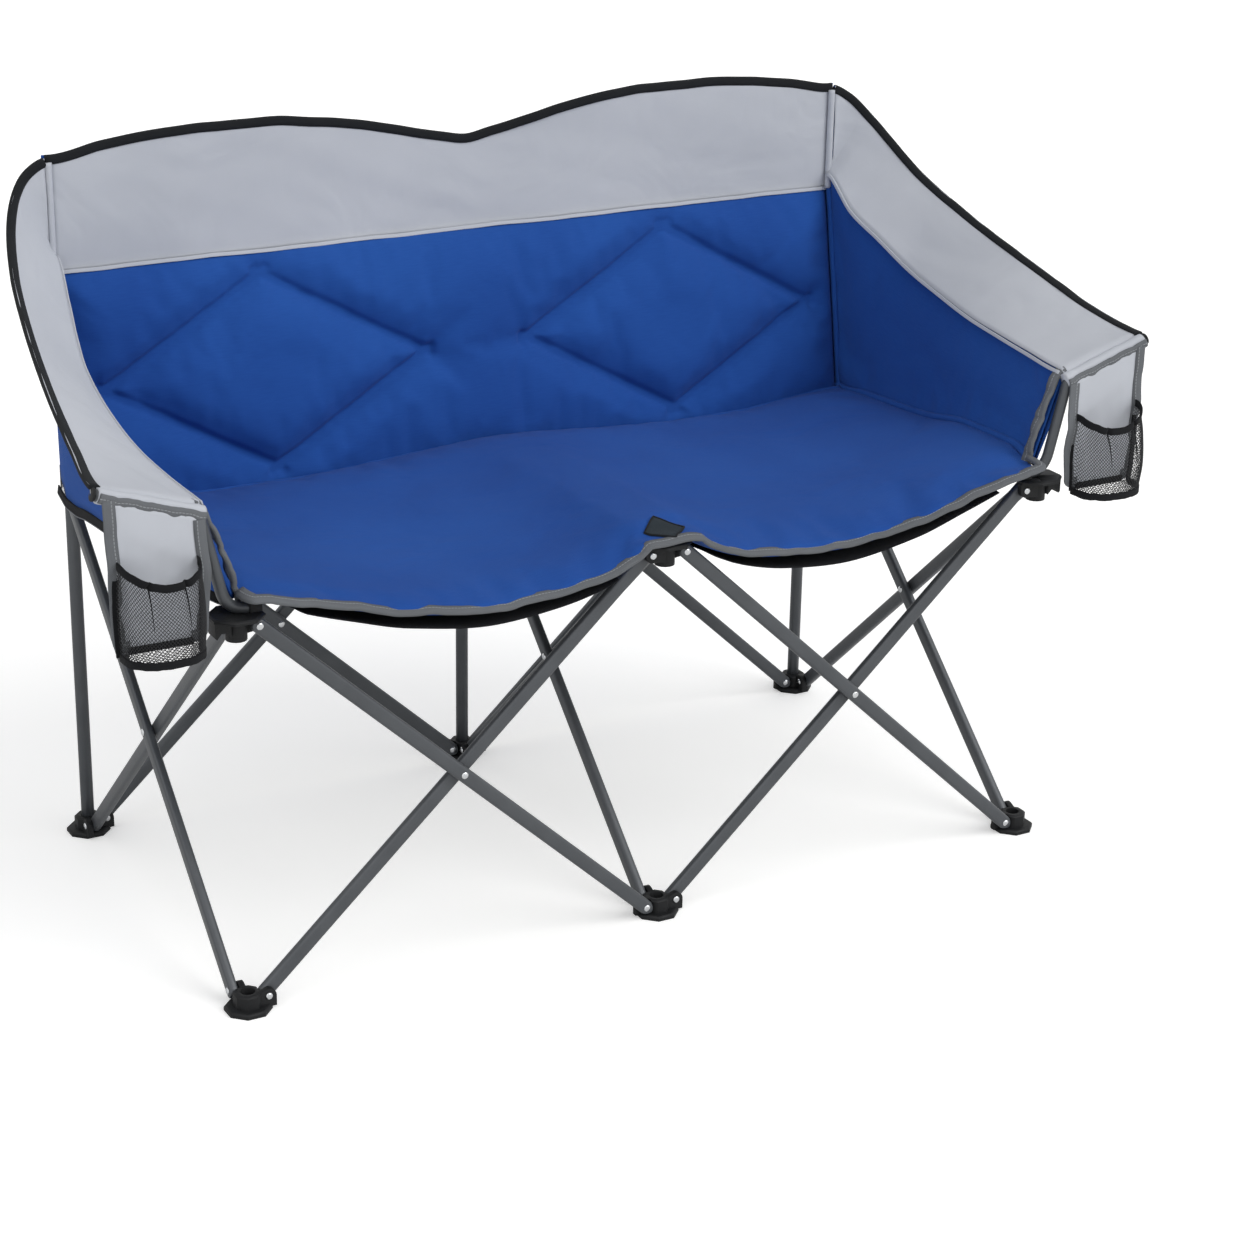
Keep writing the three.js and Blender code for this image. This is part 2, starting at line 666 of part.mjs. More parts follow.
// Feet, hubs, posts and post caps.
for (const place of stations) {
  const spot = new THREE.Matrix4().makeTranslation(place.x, place.y, 0);
  add(`foot_${place.name}`, toGeometry(foot(place)), "plastic", spot);
  if (place.y > 0) {
    const collarTop = hubPivotHeight + collarRise;
    const slidingHub = hub(place, collarTop, collarTop + overcut);
    add(`sliding_hub_${place.name}`, toGeometry(slidingHub), "plastic", spot);
    const top = place.x === 0 ? centrePostTop : cornerPostTop;
    const bore = postRadius - postWall;
    const post = turnedTube(bore, postRadius, footBaseHeight + runningGap, top);
    add(`post_${place.name}`, toGeometry(post), "steel", spot);
    const low = top + runningGap;
    const head = bar("z", postRadius + capOverhang, low, low + capHeadHeight, [0, 0]);
    const plug = bar("z", bore - runningGap, low - plugLength, low + capHeadHeight / 2, [0, 0]);
    add(`post_cap_${place.name}`, toGeometry(head.add(plug)), "plastic", spot);
  } else if (place.x === 0) {
    add(`front_hub_${place.name}`, toGeometry(frontHub(place)), "plastic", spot);
  } else {
    add(`front_hub_${place.name}`, toGeometry(cornerHub(place)), "plastic", spot);
  }
}

// Arm tubes with a cap on each outer end.
for (const [sideName, side] of [["left", -1], ["right", 1]]) {
  add(`arm_tube_${sideName}`, armSweep(side, armRadius, armRadius - armWall, 0), "steel");
  const { elbow, tip } = armPath(side);
  const axis = tip.clone().sub(elbow).normalize();
  const turn = new THREE.Quaternion().setFromUnitVectors(new THREE.Vector3(0, 0, 1), axis);
  const matrix = new THREE.Matrix4().compose(tip, turn, new THREE.Vector3(1, 1, 1));
  const steps = armSteps * 2;
  const headTop = runningGap + capHeadHeight / 2;
  const head = bar("z", armRadius + capOverhang, runningGap, headTop, [0, 0], steps);
  const bore = (armRadius - armWall) * Math.cos(Math.PI / armSteps);
  const plug = bar("z", bore - runningGap, -plugLength, capHeadHeight / 4, [0, 0], steps);
  add(`arm_cap_${sideName}`, toGeometry(head.add(plug)), "plastic", matrix);
}

// Seat cushion: scalloped front edge between the hubs, crowned top, thin edges.
function seatTop(x, y) {
  const across = Math.abs(x) / seatHalfWidth;
  const back = (y - seatFront) / (seatBack - seatFront);
  const front = seatHighPoint - seatScallop * along(frontDropShares, across);
  const rear = seatRearHeight - seatRearSag * along(rearSagShares, across);
  const side = seatSideHigh - seatSideDrop * along(sideDropShares, back);
  const plain = mix(seatHighPoint, seatRearHeight, back);
  const crown = seatCrown * (1 - Math.pow(across, 4)) * fullness(back);
  return mix(front, rear, back) + (side - plain) * Math.pow(across, 6) + crown;
}

// The cushion's underside stays above the hub plates and the arm sleeves.
function seatUnder(x, y) {
  const across = Math.abs(x) / seatHalfWidth;
  const back = (y - seatFront) / (seatBack - seatFront);
  const top = seatTop(x, y);
  const thick = mix(seatEdge, seatThickness, (1 - Math.pow(across, 6)) * fullness(back));
  const nearMiddle = Math.abs(x) <= hubReach + runningGap;
  const nearCorner = Math.abs(x) >= bay - hubReach - runningGap;
  let lowest = -Infinity;
  if ((nearMiddle || nearCorner) && y <= hubReach + runningGap) lowest = plateTop + clothGap;
  if (nearCorner && y <= hubReach / 2 + runningGap) lowest = sleeveTop + clothGap;
  return Math.min(top - seatThinnest, Math.max(top - thick, lowest));
}

const halfColumns = [
  0,
  hubReach,
  ...seatColumnShares.map((share) => mix(hubReach, bay - hubReach, share)),
  bay - hubReach,
  (bay - hubReach + seatHalfWidth) / 2,
  seatHalfWidth,
];
const seatColumns = [...halfColumns.slice(1).reverse().map((x) => -x), ...halfColumns];
const seatRows = [
  seatFront,
  -hubReach / 2,
  hubReach / 2,
  hubReach,
  ...seatRowShares.map((share) => mix(hubReach, seatBack, share)),
  seatBack,
];

// The cushion's front corners are drawn in beside the arm tubes.
function seatSheet(height) {
  const rim = bay - hubReach;
  return seatRows.map((y) => seatColumns.map((column) => {
    const past = Math.max(0, Math.abs(column) - rim) / (seatHalfWidth - rim);
    const inset = y < hubReach ? past * seatCornerInset : 0;
    const x = column - Math.sign(column) * inset;
    return new THREE.Vector3(x, y, height(x, y));
  }));
}
add("seat_cushion", between(seatSheet(seatTop), seatSheet(seatUnder)), "blue");

// The lowest that the cushion reaches around a point.
function lowestUnder(x, y) {
  const reach = hubReach * slingReachShare;
  const heights = [-1, 0, 1].flatMap((i) => [-1, 0, 1].map((j) => seatUnder(
    THREE.MathUtils.clamp(x + i * reach, -seatHalfWidth, seatHalfWidth),
    THREE.MathUtils.clamp(y + j * reach, seatFront, seatBack),
  )));
  return Math.min(...heights);
}

// Sling cloth under the cushion, cut back round the front hubs.
function slingSheet(drop) {
  const rows = seatRows.filter((_, r) => r % 2 === 0);
  return rows.map((row, r) => seatColumns.map((column) => {
    const x = (column / seatHalfWidth) * slingHalfWidth;
    const clearOfHubs = Math.abs(column) > slingNotch && Math.abs(column) < bay - slingNotch;
    const start = clearOfHubs ? slingFront : hubReach + hubMargin;
    const y = mix(start, seatBack - slingSetback, r / (rows.length - 1));
    return new THREE.Vector3(x, y, lowestUnder(x, y) - clothGap - drop);
  }));
}
add("seat_sling", between(slingSheet(0), slingSheet(slingThickness)), "black");

// The bare patch follows the cushion's top over the front middle hub.
function patchSheet(lift) {
  const shares = [-1, 0, 1];
  return shares.map((v) => shares.map((u) => {
    const x = ((u - v) / 2) * patchHalfWidth;
    const y = ((u + v) / 2) * patchHalfWidth;
    return new THREE.Vector3(x, y, seatTop(x, y) + lift);
  }));
}
add("seat_patch", between(patchSheet(patchThickness + clothGap), patchSheet(clothGap)), "black");

// Quilted back: each half is a set of rings from its outline in to a sunken diamond.
function quiltedBack() {
  const points = [];
  const triangles = [];
  const depthAt = (z) => mix(backFootDepth, backHeadDepth, (z - backBottom) / (seamHeight - backBottom));
  const centre = new THREE.Vector2(diamondCentreX, diamondCentreHeight);
  const tips = [[1, 0], [0, 1], [-1, 0], [0, -1]];
  const sides = [
    [backHalfWidth, diamondCentreHeight],
    [diamondCentreX, seamHeight],
    [0, diamondCentreHeight],
    [diamondCentreX, backBottom],
  ];
  const corners = [
    [backHalfWidth, seamHeight],
    [0, seamHeight],
    [0, backBottom],
    [backHalfWidth, backBottom],
  ];
  const outline = [];
  const diamond = [];
  for (let side = 0; side < 4; side += 1) {
    const next = (side + 1) % 4;
    for (let step = 0; step < quiltSteps; step += 1) {
      const t = step / quiltSteps;
      const [ax, az] = t < 0.5 ? sides[side] : corners[side];
      const [bx, bz] = t < 0.5 ? corners[side] : sides[next];
      const local = t < 0.5 ? t * 2 : t * 2 - 1;
      outline.push(new THREE.Vector2(mix(ax, bx, local), mix(az, bz, local)));
      const u = mix(tips[side][0], tips[next][0], t);
      const v = mix(tips[side][1], tips[next][1], t);
      diamond.push(new THREE.Vector2(u, v));
    }
  }
  const count = outline.length;
  const onDiamond = (k, grow) => new THREE.Vector2(
    centre.x + diamond[k].x * (diamondHalfWidth + grow * (diamondHalfWidth / diamondHalfHeight)),
    centre.y + diamond[k].y * (diamondHalfHeight + grow),
  );
  const blend = (k, share) => outline[k].clone().lerp(onDiamond(k, channelHalfWidth), share);
  const inSeams = (p) => p.y > seamHeight - runningGap || p.y < backBottom + runningGap;
  const onRim = (p) => p.x > backHalfWidth - runningGap || inSeams(p);
  const atOutline = (p) => (onRim(p) ? backEdge : backThickness * middleSeamShare);
  const besideChannel = () => backThickness * besideChannelShare;
  const loops = [
    { at: (k) => outline[k], thick: atOutline },
    { at: (k) => blend(k, shoulderPlaceShare), thick: () => backThickness * shoulderShare },
    { at: (k) => blend(k, flankPlaceShare), thick: () => backThickness },
    { at: (k) => onDiamond(k, channelHalfWidth), thick: besideChannel },
    { at: (k) => onDiamond(k, 0), thick: () => backThickness - channelDepth },
    { at: (k) => onDiamond(k, -channelHalfWidth), thick: besideChannel },
    { at: (k) => onDiamond(k, -diamondHalfHeight / 2), thick: () => backThickness * diamondFullShare },
  ];
  for (const side of [-1, 1]) {
    const start = points.length;
    const place = (p, thick) => points.push(new THREE.Vector3(side * p.x, depthAt(p.y) - thick, p.y));
    for (const loop of loops) {
      for (let k = 0; k < count; k += 1) {
        const p = loop.at(k);
        place(p, loop.thick(p));
      }
    }
    place(centre, backThickness * diamondPeakShare);
    const rear = points.length;
    for (const p of outline) place(p, 0);
    place(centre, 0);
    const face = (a, b, c) => triangles.push(side > 0 ? [a, b, c] : [a, c, b]);
    for (let k = 0; k < count; k += 1) {
      const n = (k + 1) % count;
      for (let i = 0; i < loops.length - 1; i += 1) {
        const outer = start + i * count;
        const inner = outer + count;
        face(outer + k, outer + n, inner + n);
        face(outer + k, inner + n, inner + k);
      }
      const last = start + (loops.length - 1) * count;
      face(last + k, last + n, rear - 1);
      face(rear + n, rear + k, rear + count);
      if (outline[k].x > runningGap || outline[n].x > runningGap) {
        face(start + n, start + k, rear + k);
        face(start + n, rear + k, rear + n);
      }
    }
  }
  return fromTriangles(points, triangles);
}
add("back_cushion", quiltedBack(), "blue");

// Plain band above the quilting, with two humps along its top edge.
function bandSheet(y) {
  const rows = Array.from({ length: bandRows + 1 }, (_, r) => r / bandRows);
  const columns = Array.from({ length: bandColumns + 1 }, (_, c) => (2 * c) / bandColumns - 1);
  return rows.map((v) => columns.map((u) => {
    const top = bandDip + bandHump * along(bandTopShares, Math.abs(u));
    return new THREE.Vector3(u * backHalfWidth, y, mix(seamHeight + clothGap, top, v));
  }));
}
add("back_band", between(bandSheet(bandRear - bandThickness), bandSheet(bandRear)), "grey");

// Rails of a wing: its foot beside the seat, the seam half way up, and the top edge.
function wingFootRail(t) {
  const y = mix(wingFront, wingFoot, t);
  const height = seatTop(seatHalfWidth, y) - wingFootDrop;
  const x = seatHalfWidth + runningGap + wingFootSpread * Math.pow(t, 3);
  return new THREE.Vector3(x, y, height);
}

function wingMiddleRail(t) {
  const x = wingMiddleX - wingMiddleDraw * along(middleDrawShares, t);
  const z = wingMiddleHeight + wingMiddleClimb * along(middleRiseShares, t);
  return new THREE.Vector3(x, mix(wingFront, wingMiddleBack, t), z);
}

function wingTopRail(t) {
  const x = wingTopX - wingTopDraw * along(topDrawShares, t);
  const z = wingTopHeight + wingTopClimb * along(topRiseShares, t);
  return new THREE.Vector3(x, mix(wingFront, wingTopBack, t), z);
}

// A sheet between pairs of rail points, with a given fullness on each side of it.
function wingSolid(side, pairs, rows, inward, outward) {
  const sheet = (offset) => pairs.map(([low, high], i) => {
    const t = i / (pairs.length - 1);
    const across = high.clone().sub(low);
    const normal = new THREE.Vector3(across.z, 0, -across.x).normalize();
    return Array.from({ length: rows + 1 }, (_, r) => {
      const s = r / rows;
      const p = low.clone().lerp(high, s).addScaledVector(normal, offset(t, s));
      return new THREE.Vector3(side * p.x, p.y, p.z);
    });
  });
  return between(sheet(inward), sheet(outward));
}

const wingStations = Array.from({ length: wingSteps + 1 }, (_, i) => i / wingSteps);
for (const [sideName, side] of [["left", -1], ["right", 1]]) {
  const padPairs = wingStations.map((t) => [wingFootRail(t), wingMiddleRail(t)]);
  const swell = (t, s) => fullness(t) * fullness(s);
  const inward = (t, s) => -wingCrown * swell(t, s) * s;
  const outward = (t, s) => mix(wingPadEdge, wingPadThickness, swell(t, s));
  add(`wing_cushion_${sideName}`, wingSolid(side, padPairs, wingRows, inward, outward), "blue");
  const corner = new THREE.Vector3(wingCornerX, wingTopBack, wingCornerHeight);
  const seamEnd = wingMiddleRail(1);
  const post = new THREE.Vector3(wingCornerX, wingTopBack, seamEnd.z + wingBandThickness * 2);
  const bandPairs = wingStations.map((t) => [wingMiddleRail(t), wingTopRail(t)]);
  bandPairs.push([seamEnd.clone().lerp(post, 0.5), wingTopRail(1).lerp(corner, 0.5)]);
  bandPairs.push([post, corner]);
  const skin = [() => -clothGap - wingBandThickness, () => -clothGap];
  add(`wing_band_${sideName}`, wingSolid(side, bandPairs, bandRows, ...skin), "grey");
}

// Hanging panel: a hem round the arm tube and a flat tapered cloth below it.
function hangingPanel(side) {
  const { elbow, tip } = armPath(1);
  const axis = tip.clone().sub(elbow).normalize();
  const from = elbow.clone().addScaledVector(axis, hemStart);
  const to = tip.clone().addScaledVector(axis, -hemEnd);
  const turn = new THREE.Quaternion().setFromUnitVectors(new THREE.Vector3(0, 1, 0), axis);
  const rod = (radius, extra) => {
    const long = from.distanceTo(to) + extra;
    const geometry = new THREE.CylinderGeometry(radius, radius, long, armSteps * 2);
    const middle = from.clone().lerp(to, 0.5);
    return toSolid(geometry.applyQuaternion(turn).translate(middle.x, middle.y, middle.z));
  };
  const front = -(armRadius + clothGap + panelThickness);
  const shape = new THREE.Shape();
  shape.moveTo(from.x, from.z);
  shape.lineTo(to.x, to.z);
  shape.lineTo(panelOuterX, (to.z + panelBottom) / 2);
  const lowX = panelOuterX - panelTaper;
  shape.lineTo(lowX, panelBottom + panelCorner);
  shape.quadraticCurveTo(lowX, panelBottom, lowX - panelCorner, panelBottom);
  shape.lineTo(panelInnerX + panelCorner, panelBottom);
  shape.quadraticCurveTo(panelInnerX, panelBottom, panelInnerX, panelBottom + panelCorner);
  shape.lineTo(panelInnerX, from.z - panelCorner);
  const cloth = upright(shape, front, front + panelThickness);
  const solid = join(cloth, rod(armRadius + runningGap + hemWall, 0));
  const bore = (armRadius + runningGap) / Math.cos(Math.PI / armSteps / 2);
  const cut = solid.subtract(rod(bore, overcut));
  return toGeometry(side < 0 ? cut.mirror([1, 0, 0]) : cut);
}

// Net pocket: a rounded wall and floor, open at the top and closed behind by the panel.
function netPocket(side) {
  const rear = -(armRadius + clothGap + panelThickness + clothGap);
  const inner = panelInnerX + pocketInset;
  const outer = panelOuterX - pocketInset;
  const middle = (inner + outer) / 2;
  const cup = (inset, floor, top, back) => {
    const half = (outer - inner) / 2 - inset;
    const ring = (level) => {
      const height = level / pocketLevels;
      const girth = along(pocketGirthShares, height);
      const points = Array.from({ length: pocketSteps + 1 }, (_, k) => {
        const angle = (Math.PI * k) / pocketSteps;
        const deep = Math.pow(Math.sin(angle), pocketRoundness) * (pocketDepth * girth - inset);
        const z = mix(floor, top, height) - pocketDip * Math.sin(angle) * height;
        return new THREE.Vector3(middle + half * Math.cos(angle), rear - deep, z);
      });
      points.push(new THREE.Vector3(middle - half, back, points.at(-1).z));
      points.push(new THREE.Vector3(middle + half, back, points[0].z));
      return points;
    };
    const rings = Array.from({ length: pocketLevels + 1 }, (_, level) => ring(level));
    const count = rings[0].length;
    const points = rings.flat();
    const triangles = [];
    for (let level = 0; level < pocketLevels; level += 1) {
      for (let k = 0; k < count; k += 1) {
        const n = (k + 1) % count;
        const low = level * count;
        const high = low + count;
        triangles.push([low + k, low + n, high + n], [low + k, high + n, high + k]);
      }
    }
    for (const [level, flip] of [[0, true], [pocketLevels, false]]) {
      const base = level * count;
      const hubPoint = points.length;
      const z = rings[level][0].z - (flip ? 0 : pocketDip / 2);
      points.push(new THREE.Vector3(middle, rear - pocketDepth * pocketMiddleShare, z));
      for (let k = 0; k < count; k += 1) {
        const n = (k + 1) % count;
        triangles.push(flip ? [base + n, base + k, hubPoint] : [base + k, base + n, hubPoint]);
      }
    }
    return toSolid(fromTriangles(points, triangles));
  };
  const behind = rear + panelThickness;
  const shell = cup(0, pocketBottom, pocketTop, rear + runningGap);
  const hollow = cup(pocketWall, pocketBottom + pocketWall, pocketTop + pocketDepth, behind);
  const trim = block(inner - overcut, outer + overcut, rear, behind, 0, pocketTop + overcut);
  const trimmed = shell.subtract(hollow).subtract(trim);
  return toGeometry(side < 0 ? trimmed.mirror([1, 0, 0]) : trimmed);
}

for (const [sideName, side] of [["left", -1], ["right", 1]]) {
  add(`hanging_panel_${sideName}`, hangingPanel(side), "grey");
  add(`net_pocket_${sideName}`, netPocket(side), "black");
}

const outline = new THREE.Box3().setFromObject(model);
const middle = outline.getCenter(new THREE.Vector3());
model.position.set(-middle.x, -middle.y, -outline.min.z);

export default loveseat;
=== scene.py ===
# %% [markdown]
# # Folding camping loveseat
# A lesson in dressing a folding seat. The frame comes from the CAD model and already moves as it
# should, so this script only gives it its looks: padded blue cloth, grey bands, taped edges, net
# pockets, painted tubes and moulded plastic. Every length is in metres, in the CAD model's own frame:
# +Z is up, the sitter faces -Y, and +X is on the right as seen from the front.

# %% Load the frame
import json
import math

import bpy
import numpy as np
from mathutils import Matrix, Vector

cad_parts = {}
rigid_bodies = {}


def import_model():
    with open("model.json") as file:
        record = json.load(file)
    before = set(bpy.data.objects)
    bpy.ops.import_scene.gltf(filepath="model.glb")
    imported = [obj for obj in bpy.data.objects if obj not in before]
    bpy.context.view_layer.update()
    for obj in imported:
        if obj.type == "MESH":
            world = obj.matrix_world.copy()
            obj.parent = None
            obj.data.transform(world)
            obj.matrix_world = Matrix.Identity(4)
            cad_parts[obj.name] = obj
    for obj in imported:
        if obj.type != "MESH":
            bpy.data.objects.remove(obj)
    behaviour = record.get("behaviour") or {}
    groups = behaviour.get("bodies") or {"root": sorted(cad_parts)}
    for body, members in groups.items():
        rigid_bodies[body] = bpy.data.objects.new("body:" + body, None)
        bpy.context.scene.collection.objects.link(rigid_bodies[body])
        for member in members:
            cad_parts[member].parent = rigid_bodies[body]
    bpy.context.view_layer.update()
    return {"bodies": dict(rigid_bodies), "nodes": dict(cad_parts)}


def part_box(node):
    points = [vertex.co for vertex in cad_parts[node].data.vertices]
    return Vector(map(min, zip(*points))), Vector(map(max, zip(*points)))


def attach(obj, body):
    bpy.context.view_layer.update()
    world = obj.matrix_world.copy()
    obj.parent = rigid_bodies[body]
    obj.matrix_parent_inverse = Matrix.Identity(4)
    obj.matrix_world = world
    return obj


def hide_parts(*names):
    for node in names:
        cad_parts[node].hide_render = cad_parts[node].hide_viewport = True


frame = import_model()

# %% [markdown]
# The feet stand one bay apart. The arm tubes stand in the front row, which gives the zero for depth:
# most shapes below are drawn by x, by the depth behind that row and by height, and then moved into
# place.

# %% Main sizes
front_low, front_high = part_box("arm_tube_left")
front_row = (front_low.y + front_high.y) / 2
bay = 0.520
pivot_inset = 0.021
foot_pivot = 0.016
hub_pivot = 0.456
pivot_span = bay - 2 * pivot_inset
pivot_rise = hub_pivot - foot_pivot
tube_length = math.hypot(pivot_span, pivot_rise)
tube_lean = math.atan2(pivot_rise, pivot_span)
print("front row at", round(front_row, 4), "tubes between pivots", round(tube_length, 4))

# %% [markdown]
# ## Looking from where the photographer stood
# The camera was solved from the rivets and feet in the photograph. It looks a little down on the seat
# from the front left, through a long lens, and leans by one degree.

# %% Camera
camera_azimuth = math.radians(-29.535)
camera_height = math.radians(21.146)
camera_roll = math.radians(1.075)
camera_distance = 3.4830
camera_target = Vector((0.0240, front_row + 0.1422, 0.3181))

back = Vector((
    math.sin(camera_azimuth) * math.cos(camera_height),
    -math.cos(camera_azimuth) * math.cos(camera_height),
    math.sin(camera_height),
))
right = (-back).cross(Vector((0, 0, 1))).normalized()
up = right.cross(-back)
camera_x = math.cos(camera_roll) * right + math.sin(camera_roll) * up
camera_y = -math.sin(camera_roll) * right + math.cos(camera_roll) * up
camera = bpy.data.objects.new("camera", bpy.data.cameras.new("camera"))
bpy.context.scene.collection.objects.link(camera)
camera.matrix_world = Matrix((
    (*[camera_x.x, camera_y.x, back.x], camera_target.x + back.x * camera_distance),
    (*[camera_x.y, camera_y.y, back.y], camera_target.y + back.y * camera_distance),
    (*[camera_x.z, camera_y.z, back.z], camera_target.z + back.z * camera_distance),
    (0, 0, 0, 1),
))
camera.data.sensor_width = 36.0
camera.data.lens = 84.80
bpy.context.scene.camera = camera
bpy.context.scene.view_settings.view_transform = "Standard"
print("camera at", [round(v, 3) for v in camera.location])

# %% [markdown]
# ## A bright, plain studio
# The real picture was taken on white with soft light from above and in front. Large lamps give that
# soft light. The floor and the surroundings look white to the camera and in reflections, and their
# white adds no light of its own to the cloth.

# %% Floor, surroundings and lamps
def new_material(name):
    material = bpy.data.materials.new(name)
    material.use_nodes = True
    tree = material.node_tree
    return material, tree.nodes, tree.links, tree.nodes["Principled BSDF"]


def show_white(nodes, links, shader, output, strength):
    """White to the camera and to glossy rays, the given shader to everything else."""
    path = nodes.new("ShaderNodeLightPath")
    seen = nodes.new("ShaderNodeMath")
    seen.operation = "MAXIMUM"
    links.new(path.outputs["Is Camera Ray"], seen.inputs[0])
    links.new(path.outputs["Is Glossy Ray"], seen.inputs[1])
    white = nodes.new("ShaderNodeBackground" if output.bl_idname.endswith("World") else "ShaderNodeEmission")
    white.inputs["Strength"].default_value = strength
    pick = nodes.new("ShaderNodeMixShader")
    links.new(seen.outputs[0], pick.inputs["Fac"])
    links.new(shader.outputs[0], pick.inputs[1])
    links.new(white.outputs[0], pick.inputs[2])
    links.new(pick.outputs[0], output.inputs["Surface"])


world = bpy.data.worlds.new("studio")
bpy.context.scene.world = world
world.use_nodes = True
world_nodes, world_links = world.node_tree.nodes, world.node_tree.links
sky = world_nodes["Background"]
sky.inputs["Color"].default_value = (1, 1, 1, 1)
sky.inputs["Strength"].default_value = 0.50
show_white(world_nodes, world_links, sky, world_nodes["World Output"], 1.0)

floor_half = 30.0
floor_mesh = bpy.data.meshes.new("studio_floor")
floor_corners = [(-floor_half, -floor_half, 0), (floor_half, -floor_half, 0),
                 (floor_half, floor_half, 0), (-floor_half, floor_half, 0)]
floor_mesh.from_pydata(floor_corners, [], [(0, 1, 2, 3)])
floor = bpy.data.objects.new("studio_floor", floor_mesh)
bpy.context.scene.collection.objects.link(floor)
floor_material, floor_nodes, floor_links, floor_shader = new_material("studio_floor")
floor_shader.inputs["Base Color"].default_value = (0.90, 0.90, 0.89, 1)
floor_shader.inputs["Roughness"].default_value = 0.8
seen_floor = floor_nodes.new("ShaderNodeLightPath")
floor_glow = floor_nodes.new("ShaderNodeMath")
floor_glow.operation = "MULTIPLY"
floor_glow.inputs[1].default_value = 0.36
floor_links.new(seen_floor.outputs["Is Camera Ray"], floor_glow.inputs[0])
floor_shader.inputs["Emission Color"].default_value = (1, 1, 1, 1)
floor_links.new(floor_glow.outputs[0], floor_shader.inputs["Emission Strength"])
floor_mesh.materials.append(floor_material)


def soft_lamp(name, toward, spread, power):
    """A far lamp with a wide face, so that its light is soft and the same all over the floor."""
    lamp = bpy.data.objects.new(name, bpy.data.lights.new(name, "SUN"))
    lamp.data.angle = math.radians(spread)
    lamp.data.energy = power
    lamp.rotation_euler = Vector(toward).to_track_quat("-Z", "Y").to_euler()
    bpy.context.scene.collection.objects.link(lamp)


soft_lamp("key_lamp", (-0.70, 0.92, -0.86), 45, 1.50)
soft_lamp("fill_lamp", (0.9, 0.6, -0.7), 70, 0.50)
soft_lamp("top_lamp", (0.0, 0.25, -1.0), 80, 0.25)

# %% [markdown]
# ## Lines taken from the pattern
# A cover like this is cut from flat cloth along curves. Each curve here is a short table of shares: how
# far along, and how much of the matching size. A smooth line is run through each table.

# %% Curves
def along(table, position):
    """The value at a position, on a smooth line through a table of shares that never overshoots."""
    x, y = np.array(table, float).T
    t = np.clip(np.asarray(position, float), x[0], x[-1])
    rise = np.diff(y) / np.diff(x)
    slope = np.zeros_like(y)
    same = rise[:-1] * rise[1:] > 0
    slope[1:-1][same] = 2 * rise[:-1][same] * rise[1:][same] / (rise[:-1] + rise[1:])[same]
    i = np.clip(np.searchsorted(x, t, side="right") - 1, 0, len(x) - 2)
    wide = x[i + 1] - x[i]
    s = (t - x[i]) / wide
    start = (1 - s) ** 2 * (y[i] + s * (2 * y[i] + wide * slope[i]))
    end = s ** 2 * (y[i + 1] + (1 - s) * (2 * y[i + 1] - wide * slope[i + 1]))
    return start + end


def mix(a, b, t):
    return a + (b - a) * t


def clamp(share):
    return np.clip(share, 0, 1)


def bump(away, wide):
    """A bell: one where away is nothing, and next to nothing beyond twice the width."""
    return np.exp(-(away / wide) ** 2)


def stacked(*parts):
    """Points from their coordinates, any of which may be one number for all."""
    return np.stack(np.broadcast_arrays(*parts), -1)


def rounded(start, knee, end, t):
    """A smooth bend from start to end, drawn toward the knee."""
    return (1 - t) ** 2 * start + 2 * t * (1 - t) * knee + t ** 2 * end


def fullness(t):
    """One in the middle of a panel, nothing at its edges."""
    return 1 - np.abs(2 * t - 1) ** 6


fixed_waves = [(1.0, 0.3), (1.3, 1.9), (2.1, 4.1), (2.9, 0.8), (3.7, 2.6), (5.1, 5.0)]


def ripple(*lines):
    """Slow, uneven waves from a few fixed ones, between about -1 and 1."""
    total = 0
    for line, (pace, start) in zip(lines * 3, fixed_waves):
        total = total + np.sin(pace * line + start) / pace
    return total / 1.6


front_drop = [[0, 0.28], [0.06, 0.3], [0.09, 0.47], [0.17, 0.77], [0.28, 0.93], [0.42, 1],
              [0.62, 0.77], [0.75, 0.46], [0.885, 0.15], [0.93, 0.06], [1, 0]]
rear_sag = [[0, 0], [0.3, 0.6], [0.5, 1], [0.7, 0.9], [0.87, 0.2], [1, 0]]
side_drop = [[0, 0.03], [0.083, 0.1], [0.22, 0], [0.41, 0.06], [0.62, 0.53], [0.92, 0.84], [1, 1]]
band_top = [[0, 0], [0.06, 0.13], [0.17, 0.43], [0.28, 0.72], [0.39, 0.9], [0.47, 1],
            [0.64, 1], [0.76, 0.9], [0.88, 0.7], [1, 0.42]]
middle_draw = [[0, 0.27], [0.16, 0.1], [0.32, 0], [0.5, 0.03], [0.68, 0.2], [0.79, 0.47], [0.89, 0.8], [1, 1]]
middle_rise = [[0, 0], [0.16, 0.03], [0.37, 0.1], [0.575, 0.25], [0.68, 0.36], [0.785, 0.53],
               [0.89, 0.71], [1, 1]]
top_draw = [[0, 0], [0.16, 0.115], [0.36, 0.256], [0.56, 0.436], [0.77, 0.667], [1, 1]]
top_rise = [[0, 0], [0.16, 0.073], [0.36, 0.237], [0.56, 0.418], [0.77, 0.655], [1, 1]]

seat_half, seat_front, seat_back = 0.531, -0.030, 0.438
seat_high, seat_rear, seat_scallop = 0.493, 0.462, 0.057
seat_side_high, seat_side_drop, seat_rear_sag = 0.494, 0.032, 0.014
seat_crown, seat_thickness, seat_edge = 0.007, 0.024, 0.006
middle_hub_top, corner_hub_top, hub_reach = 0.470, 0.4835, 0.034
back_half, back_bottom, seam_height = 0.531, 0.439, 0.719
back_foot_depth, back_head_depth = 0.462, 0.5104
band_dip, band_hump = 0.836, 0.042
corner_draw = 0.0165


